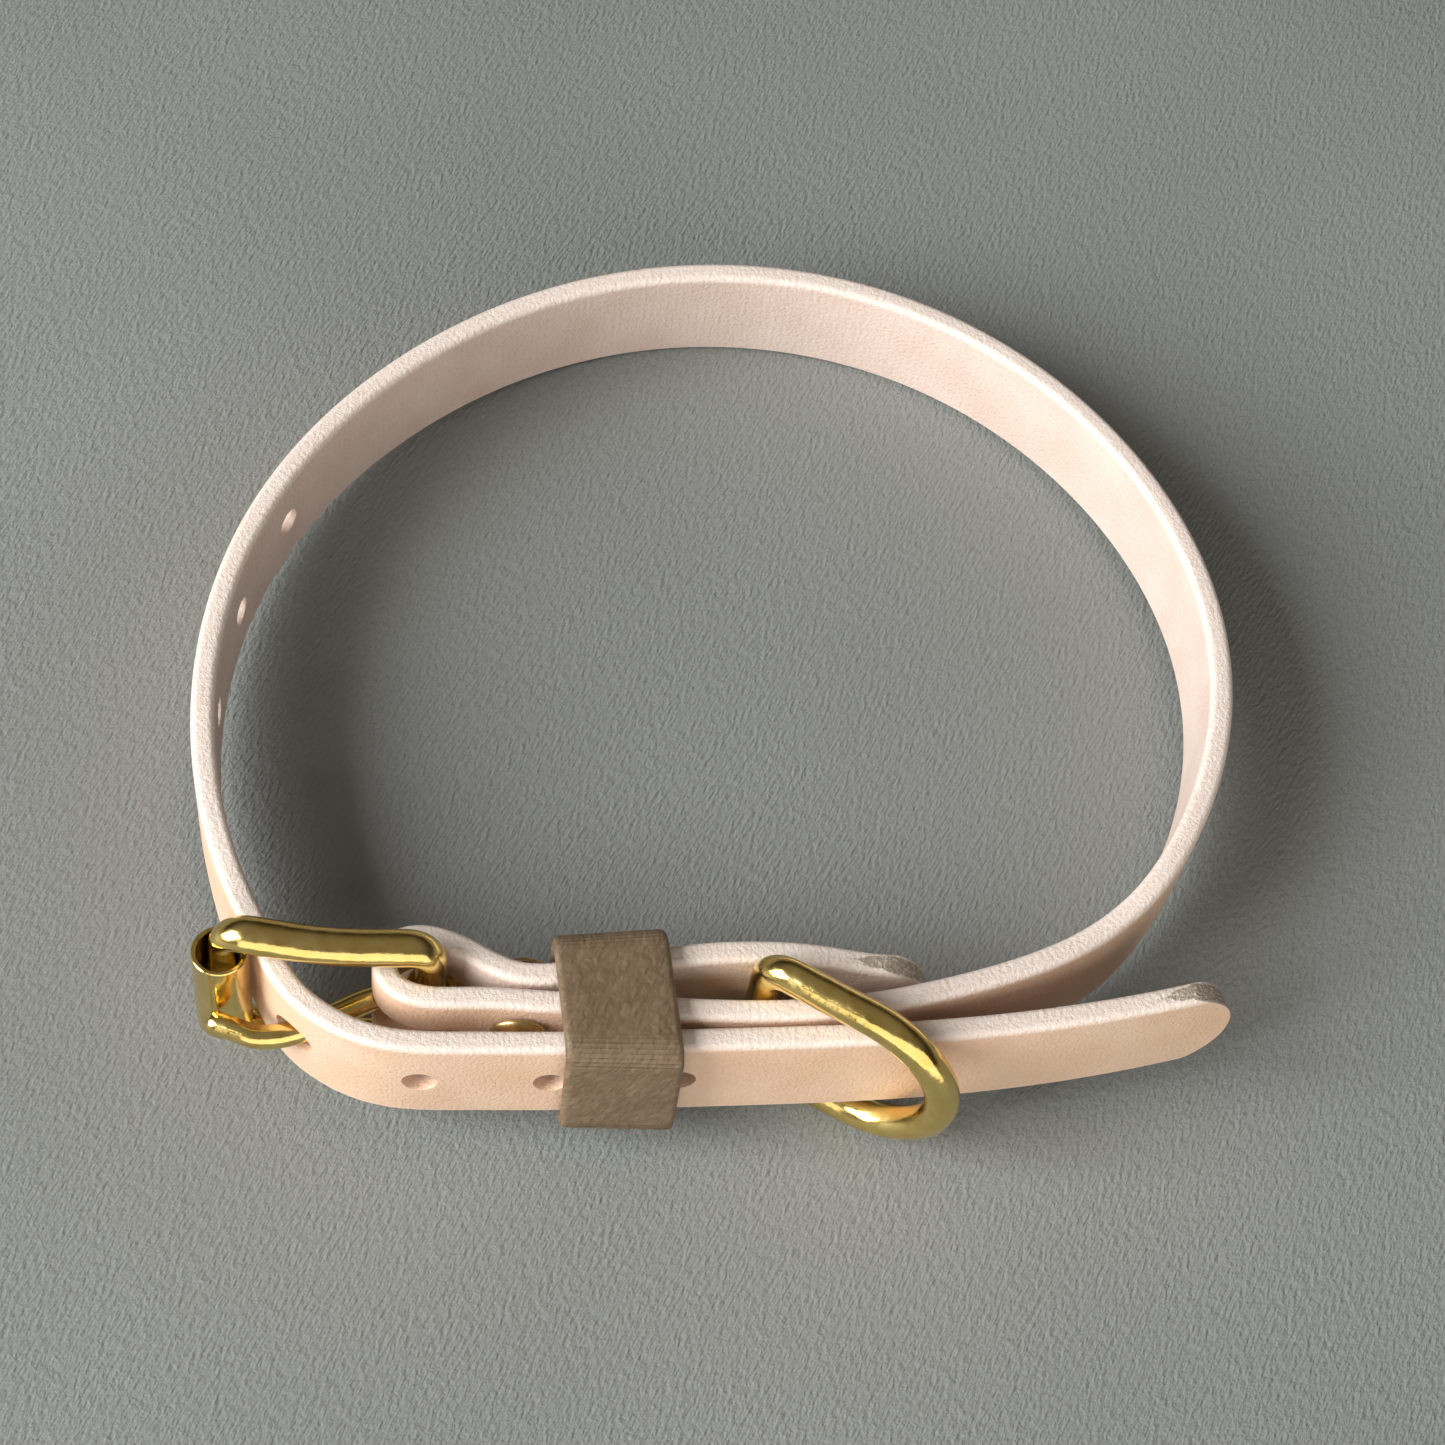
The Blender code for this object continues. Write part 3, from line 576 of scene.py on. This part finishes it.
# %% Holes and slot
RIVET_X, END_RIVET_X, SHANK = -24.45, 20.8, 3.0
RIVET_RISE = {RIVET_X: 2.6, END_RIVET_X: 0.0}
PRONG_HOLE_SHIFT, PRONG_HOLE_DIAMETER, PRONG_HOLE_STRETCH = 0.2, 4.5, 1.2
FRAME_HEEL, RING_REACH, RING_ROOM = (-35.6, -44.8), 3.8, 4.0
LAYERS = {RIVET_X: ((440.5, 500.2), (500.2, 540.1)), END_RIVET_X: ((400.1, 450.2), (540.1, 569.1))}
for number in range(HOLE_COUNT):
    s = FIRST_HOLE_FROM_TIP + number * HOLE_PITCH
    if number + 1 == PRONG_HOLE_NUMBER:
        place = s + PRONG_HOLE_SHIFT
        carve(strap, punch("prong_hole", place, PRONG_HOLE_DIAMETER, PRONG_HOLE_STRETCH, 0.15))
    else:
        carve(strap, punch("hole", s, HOLE_DIAMETER - 0.1, 1.0, 0.1))
for x, spans in LAYERS.items():
    for first, last in spans:
        place = route_at_x(x, first, last)
        carve(strap, punch("rivet_hole", place, SHANK + 2 * GAP, rise=RIVET_RISE[x]))
inside = [row[0] for row in ROUTE if row[0] > 400 and row[1] < FRAME_HEEL[0] + RING_REACH]
carve(strap, box_cutter("slot", min(inside), max(inside), RING_ROOM))
print("slot:", round(min(inside), 1), "to", round(max(inside), 1), "mm from the tip")


# %% Round ends
END_TRIM, END_ROUND, TONGUE_LENGTH, TONGUE_ROOM, WASTE_HEIGHT, WASTE_PAST = 0.01, 7.9, 80, 0.2, 40, 5


def round_off(end, inward):
    """Rounds an end of the strip: a box with a rounded tongue taken out of it is the cutter.

    The tongue starts a hair inside the end, because a cut along the very end can leave gaps."""
    clear_selection()
    half = TONGUE_LENGTH / 2
    size = (TONGUE_LENGTH, 3 * STRAP_THICKNESS, STRAP_WIDTH + TONGUE_ROOM)
    place = (end + (half + END_TRIM) * inward, 0, 0)
    bpy.ops.mesh.primitive_cube_add(size=1, scale=size, location=place)
    tongue = fresh("tongue")

    def at_end(edge):
        first = edge.verts[0].co
        return all(abs(v.co.x - end) < 1 and v.co.z * first.z > 0 for v in edge.verts)

    pick("EDGE", at_end)
    bpy.ops.mesh.bevel(offset=END_ROUND, offset_type="OFFSET", segments=20, profile=0.5, affect="EDGES")
    clear_selection()
    sides = sorted((end - WASTE_PAST * inward, end + half * inward))
    waste = box_cutter("waste", *sides, WASTE_HEIGHT)
    carve(waste, tongue)
    carve(strap, waste)


round_off(0.0, 1)
round_off(STRAP_LENGTH, -1)
close_up(strap)
print("strap cut:", len(strap.data.polygons), "faces")

# %% Core on the cut ends, and the place of each point on the flat strip
CORE_SHOWS = 10.7
strap.data.materials.append(coat)
strap.data.materials.append(core)
for face in strap.data.polygons:
    from_end = min(face.center.x, STRAP_LENGTH - face.center.x)
    face.material_index = 1 if from_end < CORE_SHOWS and abs(face.normal.y) < 0.3 else 0
places = strap.data.attributes.new("flat", "FLOAT_VECTOR", "POINT")
for i, point in enumerate(strap.data.vertices):
    places.data[i].vector = point.co


def flat_to_plan(p):
    x, y, heading = on_route(p[0])
    return (x - math.sin(heading) * p[1], y + math.cos(heading) * p[1], MID_Z + p[2])


lay(strap, flat_to_plan)
dress(strap, "collar", "strap", coat)

# %% [markdown]
# ## Finish: gold-plated zinc
# The buckle and the D-ring are cast, polished and flash-plated. The surface mirrors the room, and
# the slow waves that polishing leaves bend the reflections, so their edges look ragged. Fine wear
# dulls it a little in places.

# %% Gold plating
gold, tree, shader = finish("polished_gold_plated_zinc")
place = node(tree, "ShaderNodeTexCoord").outputs["Object"]
wave = node(tree, "ShaderNodeTexNoise", {"Vector": place, "Scale": 260.0, "Detail": 2.0})
ripple = node(tree, "ShaderNodeTexNoise", {"Vector": place, "Scale": 1500.0, "Detail": 2.0})
rub = node(tree, "ShaderNodeTexNoise", {"Vector": place, "Scale": 500.0, "Detail": 4.0})
tone = node(tree, "ShaderNodeValToRGB", {0: rub.outputs[0]}, ((0.3, "E6C772"), (0.7, "F1D98E")))
wear = node(tree, "ShaderNodeMapRange", {0: rub.outputs[0], 1: 0.3, 2: 0.75, 3: 0.13, 4: 0.24})
shader.inputs["Metallic"].default_value = 1.0
tree.links.new(tone.outputs[0], shader.inputs["Base Color"])
tree.links.new(wear.outputs[0], shader.inputs["Roughness"])
surface = node(
    tree, "ShaderNodeMath", {0: ripple.outputs[0], 1: 0.12, 2: wave.outputs[0]}, operation="MULTIPLY_ADD"
)
bump = node(tree, "ShaderNodeBump", {"Height": surface.outputs[0], "Strength": 0.25, "Distance": 0.0006})
tree.links.new(bump.outputs[0], shader.inputs["Normal"])

# %% [markdown]
# ## Buckle frame
# One cast loop, thicker along its two side bars, which are deeper than they are wide. It is drawn
# from the middle of the roller bar, up, round two corners, down the heel bar, and back. A gentle
# outward bow of the side bars, and their extra depth, are pressed in afterwards.

# %% Buckle frame
WIRE, SIDE_BAR, SIDE_BAR_DEPTH, ROLLER_BAR = 3.8, 4.2, 4.8, 3.2
FRAME_ROLLER_BAR = (-60.25, -43.9)
FRAME_RISE, FRAME_CORNER, FRAME_BOW = 0.4, 2.8, 0.7
FRAME_HALF = (STRAP_WIDTH + 1.4 + SIDE_BAR) / 2
buckle_along = Vector((*FRAME_HEEL, 0)) - Vector((*FRAME_ROLLER_BAR, 0))
frame_length = buckle_along.length
h, c = FRAME_HALF, FRAME_CORNER
buckle = start_wire("buckle_dressed", (0, 0, 0), (0, 0, 1), ROLLER_BAR, 40)
run_wire((0, 0, h - c), 3)
bend_wire((c, 0, h - c), (0, 1, 0), 90, 10, SIDE_BAR / ROLLER_BAR)
run_wire((frame_length - 2 * c, 0, 0), 12)
bend_wire((frame_length - c, 0, h - c), (0, 1, 0), 90, 10, WIRE / SIDE_BAR)
run_wire((0, 0, -2 * (h - c)), 6)
bend_wire((frame_length - c, 0, c - h), (0, 1, 0), 90, 10, SIDE_BAR / WIRE)
run_wire((2 * c - frame_length, 0, 0), 12)
bend_wire((c, 0, c - h), (0, 1, 0), 90, 10, ROLLER_BAR / SIDE_BAR)
run_wire((0, 0, h - c), 3)
close_up(buckle)
for point in buckle.data.vertices:
    share = max(0.0, min(point.co.x / frame_length, 1.0))
    side = max(0.0, min((abs(point.co.z) - h + c) / c, 1.0))
    point.co.y *= 1 + (SIDE_BAR_DEPTH / SIDE_BAR - 1) * side
    point.co.y -= FRAME_BOW * math.sin(math.pi * share) ** 2 * min(1.0, abs(point.co.z) / h)
lay(buckle, in_frame((*FRAME_ROLLER_BAR, MID_Z + FRAME_RISE), buckle_along))
dress(buckle, "collar", "buckle_frame", gold, 60)

# %% [markdown]
# ## Roller
# A strip of brass rolled into a thin tube, which hangs loosely round its bar. Its two edges meet in
# a hairline seam: a narrow groove is cut along the tube.

# %% Roller
ROLLER_DIAMETER, ROLLER_WALL, ROLLER_LENGTH, ROLLER_HANG = 6.8, 0.6, 16.0, (-0.25, -0.9)
outer_r, inner_r, half = ROLLER_DIAMETER / 2, ROLLER_DIAMETER / 2 - ROLLER_WALL, ROLLER_LENGTH / 2
ease = 0.12
wall = [
    (inner_r, -half + ease), (inner_r + ease, -half), (outer_r - ease, -half), (outer_r, -half + ease),
    (outer_r, half - ease), (outer_r - ease, half), (inner_r + ease, half), (inner_r, half - ease),
    (inner_r, -half + ease),
]
roller = lathe("roller_dressed", wall, 72)
SEAM_HEADING, SEAM_WIDTH, SEAM_DEPTH = 255, 0.12, 0.15
seam_at = Vector((math.cos(math.radians(SEAM_HEADING)), math.sin(math.radians(SEAM_HEADING)), 0)) * outer_r
clear_selection()
bpy.ops.mesh.primitive_cube_add(
    size=1, scale=(SEAM_DEPTH * 2, SEAM_WIDTH, ROLLER_LENGTH + 1), location=seam_at,
    rotation=(0, 0, math.radians(SEAM_HEADING)),
)
carve(roller, fresh("seam"))
roller_at = (FRAME_ROLLER_BAR[0] + ROLLER_HANG[0], FRAME_ROLLER_BAR[1] + ROLLER_HANG[1], MID_Z + FRAME_RISE)
lay(roller, in_frame(roller_at, (1, 0, 0)))
dress(roller, "roller", "roller", gold, 40)

# %% [markdown]
# ## D-ring
# A rod bent round a half-circle, with its ends turned in and brazed to close the straight bar that
# the strap folds round.

# %% D-ring
D_BAR, D_WIRE, D_DEPTH, D_INSIDE_HEIGHT = (4.5, -44.57), 4.3, 24.7, STRAP_WIDTH + 2.6
D_CORNER, D_REST_HEADING = 3.0, -28.0
d_half = (D_INSIDE_HEIGHT + D_WIRE) / 2
d_straight = D_DEPTH - d_half
d_ring = start_wire("d_ring_dressed", (0, 0, 0), (0, 0, 1), D_WIRE, 40)
run_wire((0, 0, d_half - D_CORNER), 4)
bend_wire((D_CORNER, 0, d_half - D_CORNER), (0, 1, 0), 90, 10)
run_wire((d_straight - D_CORNER, 0, 0), 6)
bend_wire((d_straight, 0, 0), (0, 1, 0), 180, 48)
run_wire((D_CORNER - d_straight, 0, 0), 6)
bend_wire((D_CORNER, 0, D_CORNER - d_half), (0, 1, 0), 90, 10)
run_wire((0, 0, d_half - D_CORNER), 4)
close_up(d_ring)
heading = math.radians(D_REST_HEADING)
lay(d_ring, in_frame((*D_BAR, MID_Z), (math.cos(heading), math.sin(heading), 0)))
dress(d_ring, "d_ring", "d_ring", gold, 60)

# %% [markdown]
# ## Prong
# A pin with an eye that is closed round the heel bar. The eye is a turned ring. The pin is turned
# straight, laid along its bent line, and joined to the eye with a Boolean union.

# %% Prong
PRONG_DIAMETER, PRONG_TIP, RING_INSIDE, RING_OUTSIDE, RING_HEIGHT = 3.2, 2.9, 2.2, 3.5, 3.4
PRONG_LINE = (
    (-38.0, -44.9), (-42.0, -45.5), (-46.0, -47.6), (-50.0, -50.1),
    (-53.0, -51.25), (-56.0, -51.55), (-58.6, -50.7), (-61.2, -49.8),
)
prong_marks = [0.0]
for (x0, y0), (x1, y1) in zip(PRONG_LINE, PRONG_LINE[1:]):
    prong_marks.append(prong_marks[-1] + math.hypot(x1 - x0, y1 - y0))
reach, LINE_STEP = prong_marks[-1], 0.2
soft, top = 0.35, RING_HEIGHT / 2
eye_profile = [
    (RING_INSIDE, 0), (RING_INSIDE, top - soft), (RING_INSIDE + soft, top),
    (RING_OUTSIDE - soft, top), (RING_OUTSIDE, top - soft),
    (RING_OUTSIDE, soft - top), (RING_OUTSIDE - soft, -top),
    (RING_INSIDE + soft, -top), (RING_INSIDE, soft - top), (RING_INSIDE, 0),
]
prong = lathe("prong_dressed", eye_profile, 48)
heel = Vector((*FRAME_HEEL, 0))
for point in prong.data.vertices:
    point.co += heel
pin_profile = [(0.0, 0.0)]
for k in range(25):
    pin_profile.append(((PRONG_DIAMETER + (PRONG_TIP - PRONG_DIAMETER) * k / 24) / 2, reach * k / 24))
for width, out in ((0.93, 0.12), (0.75, 0.25), (0.4, 0.36), (0.0, 0.4)):
    pin_profile.append((PRONG_TIP / 2 * width, reach + out))
pin = lathe("pin", pin_profile, 24)


def on_prong(distance):
    """A point of the prong's bent line, at a distance from its start."""
    at = max(0, min(distance, reach))
    columns = ([row[k] for row in PRONG_LINE] for k in (0, 1))
    return Vector((*(smooth_value(prong_marks, column, at) for column in columns), 0))


for point in pin.data.vertices:
    at = min(point.co.z, reach)
    way = (on_prong(at + LINE_STEP) - on_prong(at - LINE_STEP)).normalized()
    aside = Vector((-way.y, way.x, 0))
    past_end = max(0.0, point.co.z - reach)
    point.co = on_prong(at) + way * past_end + aside * point.co.x + Vector((0, 0, point.co.y))
close_up(pin)
carve(prong, pin, "UNION")
lay(prong, lambda p: (p[0], p[1], MID_Z + p[2]))
dress(prong, "collar", "prong", gold, 40)

# %% [markdown]
# ## Finish: leather of the keeper
# The keeper is soft drum-dyed goat leather, glued round a stiff core. Tumbling leaves long shallow
# wrinkles that run round the band and fine pebbles between them. The colour follows their height:
# darker in the creases and paler on the crests. The wrinkles are 1 mm wide and 2 mm long, a little
# coarser than real ones, so that they show.

# %% Leather
leather, tree, shader = finish("tumbled_goat_leather")
flat = node(tree, "ShaderNodeAttribute", attribute_name="flat").outputs["Vector"]
slant = node(
    tree, "ShaderNodeMapping", {"Vector": flat, "Rotation": (0, 0, 0.5), "Scale": (0.75, 1.5, 1.0)},
    vector_type="TEXTURE",
)
warp = node(tree, "ShaderNodeTexNoise", {"Vector": flat, "Scale": 0.9, "Detail": 2.0})
bent = node(
    tree, "ShaderNodeVectorMath", {0: warp.outputs["Color"], 1: (0.9, 0.9, 0.9), 2: slant.outputs[0]},
    operation="MULTIPLY_ADD",
).outputs[0]
cells = node(tree, "ShaderNodeTexVoronoi", {"Vector": bent, "Scale": 0.7}, feature="DISTANCE_TO_EDGE")
crest = node(
    tree, "ShaderNodeMapRange", {0: cells.outputs["Distance"], 1: 0.0, 2: 0.32},
    interpolation_type="SMOOTHSTEP",
)
wrinkle = node(tree, "ShaderNodeTexNoise", {"Vector": bent, "Scale": 0.9, "Detail": 2.0, "Roughness": 0.5})
pores = node(tree, "ShaderNodeTexNoise", {"Vector": flat, "Scale": 6.0, "Detail": 2.0})
height = node(
    tree, "ShaderNodeMath", {0: crest.outputs[0], 1: 0.2, 2: wrinkle.outputs[0]}, operation="MULTIPLY_ADD"
).outputs[0]
height = node(
    tree, "ShaderNodeMath", {0: pores.outputs[0], 1: 0.06, 2: height}, operation="MULTIPLY_ADD"
).outputs[0]
cloudy = node(tree, "ShaderNodeTexNoise", {"Vector": flat, "Scale": 0.15, "Detail": 2.0})
level = node(
    tree, "ShaderNodeMath", {0: cloudy.outputs[0], 1: 0.5, 2: height}, operation="MULTIPLY_ADD"
).outputs[0]
share = node(tree, "ShaderNodeMapRange", {0: level, 1: 0.6, 2: 1.4}).outputs[0]
tone = node(tree, "ShaderNodeValToRGB", {0: share}, ((0.1, "6F5C46"), (0.5, "7D6953"), (0.9, "8A7660")))
tree.links.new(tone.outputs[0], shader.inputs["Base Color"])
gloss = node(tree, "ShaderNodeMapRange", {0: height, 1: 0.4, 2: 1.1, 3: 0.6, 4: 0.44})
tree.links.new(gloss.outputs[0], shader.inputs["Roughness"])
bump = node(tree, "ShaderNodeBump", {"Height": height, "Strength": 0.42, "Distance": 0.0004})
tree.links.new(bump.outputs[0], shader.inputs["Normal"])

# %% [markdown]
# ## Keeper
# A band of leather closed into a loop. A block is rounded along the edges that run across the band,
# its two open sides are inset by the wall and bridged into a tunnel, and the rims are rounded.
# The block is square, so its points are then moved to the four corners that the real one has.

# %% Keeper
KEEPER_CORNERS = {"bl": (-21.6, -40.3), "br": (-7.9, -38.4), "fl": (-19.1, -57.6), "fr": (-5.2, -57.2)}
KEEPER_WALL, KEEPER_EDGE, KEEPER_ROUND, KEEPER_LOW, KEEPER_HIGH = 1.8, 0.85, 3.0, -2.2, 18.3
corner = {name: Vector((*xy, 0)) for name, xy in KEEPER_CORNERS.items()}
band = (corner["br"] - corner["bl"]).length
depth = ((corner["bl"] - corner["fl"]).length + (corner["br"] - corner["fr"]).length) / 2
tall, centre_z = KEEPER_HIGH - KEEPER_LOW, (KEEPER_HIGH + KEEPER_LOW) / 2
clear_selection()
bpy.ops.mesh.primitive_cube_add(size=1, scale=(band, depth, tall), location=(0, 0, centre_z))
keeper = fresh("keeper_dressed")
pick("EDGE", lambda e: abs(e.verts[0].co.x - e.verts[1].co.x) > 1)
bpy.ops.mesh.bevel(offset=KEEPER_ROUND, offset_type="OFFSET", segments=8, affect="EDGES")
pick("FACE", lambda f: abs(f.normal.x) > 0.9)
bpy.ops.mesh.inset(thickness=KEEPER_WALL, depth=0)
bpy.ops.mesh.delete(type="ONLY_FACE")


def on_inner_loop(edge):
    inside_y = all(abs(v.co.y) < depth / 2 - KEEPER_WALL / 2 for v in edge.verts)
    inside_z = all(abs(v.co.z - centre_z) < tall / 2 - KEEPER_WALL / 2 for v in edge.verts)
    return inside_y and inside_z


print("inner edges:", pick("EDGE", on_inner_loop))
bpy.ops.mesh.bridge_edge_loops()
close_up(keeper)


def on_rim(edge):
    at_side = all(abs(abs(v.co.x) - band / 2) < 1e-3 for v in edge.verts)
    return at_side and any(abs(f.normal.x) < 0.5 for f in edge.link_faces)


pick("EDGE", on_rim)
bpy.ops.mesh.bevel(offset=KEEPER_EDGE, offset_type="OFFSET", segments=5, affect="EDGES")
bpy.ops.mesh.select_all(action="SELECT")
bpy.ops.mesh.normals_make_consistent(inside=False)
for _ in range(3):
    pick("EDGE", lambda e: e.calc_length() > 1.2)
    bpy.ops.mesh.subdivide(number_cuts=1)
bpy.ops.object.mode_set(mode="OBJECT")

# %% Place on the band, then the real corners
places = keeper.data.attributes.new("flat", "FLOAT_VECTOR", "POINT")
for i, point in enumerate(keeper.data.vertices):
    places.data[i].vector = (point.co.x, -point.co.y - point.co.z, 0)


def block_to_plan(p):
    u, v = p[0] / band + 0.5, p[1] / depth + 0.5
    front, rear = corner["fl"].lerp(corner["fr"], u), corner["bl"].lerp(corner["br"], u)
    plan = front.lerp(rear, v)
    return (plan.x, plan.y, MID_Z + p[2] - STRAP_WIDTH / 2)


lay(keeper, block_to_plan)
dress(keeper, "collar", "keeper", leather)

# %% [markdown]
# ## Finish: rivet brass
# The rivets are plain brass, left to dull, so they reflect the strap only as a soft glow and have
# brown patches of tarnish.

# %% Rivet brass
brass, tree, shader = finish("dull_tarnished_brass")
place = node(tree, "ShaderNodeTexCoord").outputs["Object"]
tarnish = node(tree, "ShaderNodeTexNoise", {"Vector": place, "Scale": 450.0, "Detail": 4.0})
tone = node(tree, "ShaderNodeValToRGB", {0: tarnish.outputs[0]}, ((0.35, "A98F62"), (0.65, "D2BB86")))
dull = node(tree, "ShaderNodeMapRange", {0: tarnish.outputs[0], 1: 0.3, 2: 0.7, 3: 0.42, 4: 0.27})
bump = node(tree, "ShaderNodeBump", {"Height": tarnish.outputs[0], "Strength": 0.2, "Distance": 0.0003})
shader.inputs["Metallic"].default_value = 1.0
tree.links.new(tone.outputs[0], shader.inputs["Base Color"])
tree.links.new(dull.outputs[0], shader.inputs["Roughness"])
tree.links.new(bump.outputs[0], shader.inputs["Normal"])

# %% [markdown]
# ## Rivets
# Each rivet is turned on a lathe and hammered over at the back. Its line is found as on the solid:
# midway between the two layers, square to both, with a seat just off each face. A head's profile
# is given as (share of its radius, mm out from its seat), from the middle to the rim.

# %% Rivets
RIVET_SEAT = 0.4
DOME_HEAD = (
    (0.0, 1.70), (0.18, 1.66), (0.35, 1.55), (0.52, 1.38), (0.66, 1.20),
    (0.78, 0.97), (0.88, 0.72), (0.96, 0.45), (1.0, 0.20), (0.98, 0.0),
)
FLAT_HEAD = ((0.0, 0.80), (0.4, 0.79), (0.75, 0.75), (0.88, 0.65), (0.95, 0.50), (1.0, 0.25), (0.98, 0.0))
THIN_HEAD = ((0.0, 0.40), (0.5, 0.39), (0.85, 0.35), (0.96, 0.26), (1.0, 0.15), (0.98, 0.0))


def rivet_line(x, diameters):
    """Centre, axis, and the seats before and behind the centre."""
    spans = LAYERS[x]
    (x0, y0, h0), (x1, y1, h1) = (on_route(route_at_x(x, *span)) for span in spans)
    tangent = Vector((math.cos(h1) - math.cos(h0), math.sin(h1) - math.sin(h0), 0)).normalized()
    axis = Vector((-tangent.y, tangent.x, 0))
    centre = Vector(((x0 + x1) / 2, (y0 + y1) / 2, MID_Z + RIVET_RISE[x]))
    seats = []
    for span, side, diameter in zip(spans, (-1, 1), diameters):
        reaches = []
        for s, px, py, turn in ROUTE:
            offset = Vector((px, py, centre.z)) - centre
            if span[0] <= s <= span[1] and abs(offset.dot(tangent)) <= diameter / 2:
                square = abs(math.cos(turn) * tangent.x + math.sin(turn) * tangent.y)
                reaches.append(side * offset.dot(axis) + STRAP_THICKNESS / 2 / square)
        seats.append(side * (max(reaches) + RIVET_SEAT))
    return centre, axis, seats[0], seats[1]


def turn_rivet(name, solid, x, front_head, back_head, front_diameter, back_diameter):
    centre, axis, front, back = rivet_line(x, (front_diameter, back_diameter))
    profile = [(share * front_diameter / 2, front - out) for share, out in front_head]
    profile += [(SHANK / 2, front), (SHANK / 2, back)]
    profile += [(share * back_diameter / 2, back + out) for share, out in reversed(back_head)]
    rivet = lathe(name, profile, 48)
    across_axis = Vector((axis.y, -axis.x, 0))
    lay(rivet, lambda p: centre + axis * p[2] + across_axis * p[0] + Vector((0, 0, p[1])))
    close_up(rivet, 1e-6)
    dress(rivet, "collar", solid, brass, 50)
    print(name, "grips", round(back - front, 2), "mm")


turn_rivet("rivet_dressed", "rivet", RIVET_X, DOME_HEAD, FLAT_HEAD, 7.2, 6.4)
turn_rivet("end_rivet_dressed", "end_rivet", END_RIVET_X, THIN_HEAD, THIN_HEAD, 5.0, 5.0)
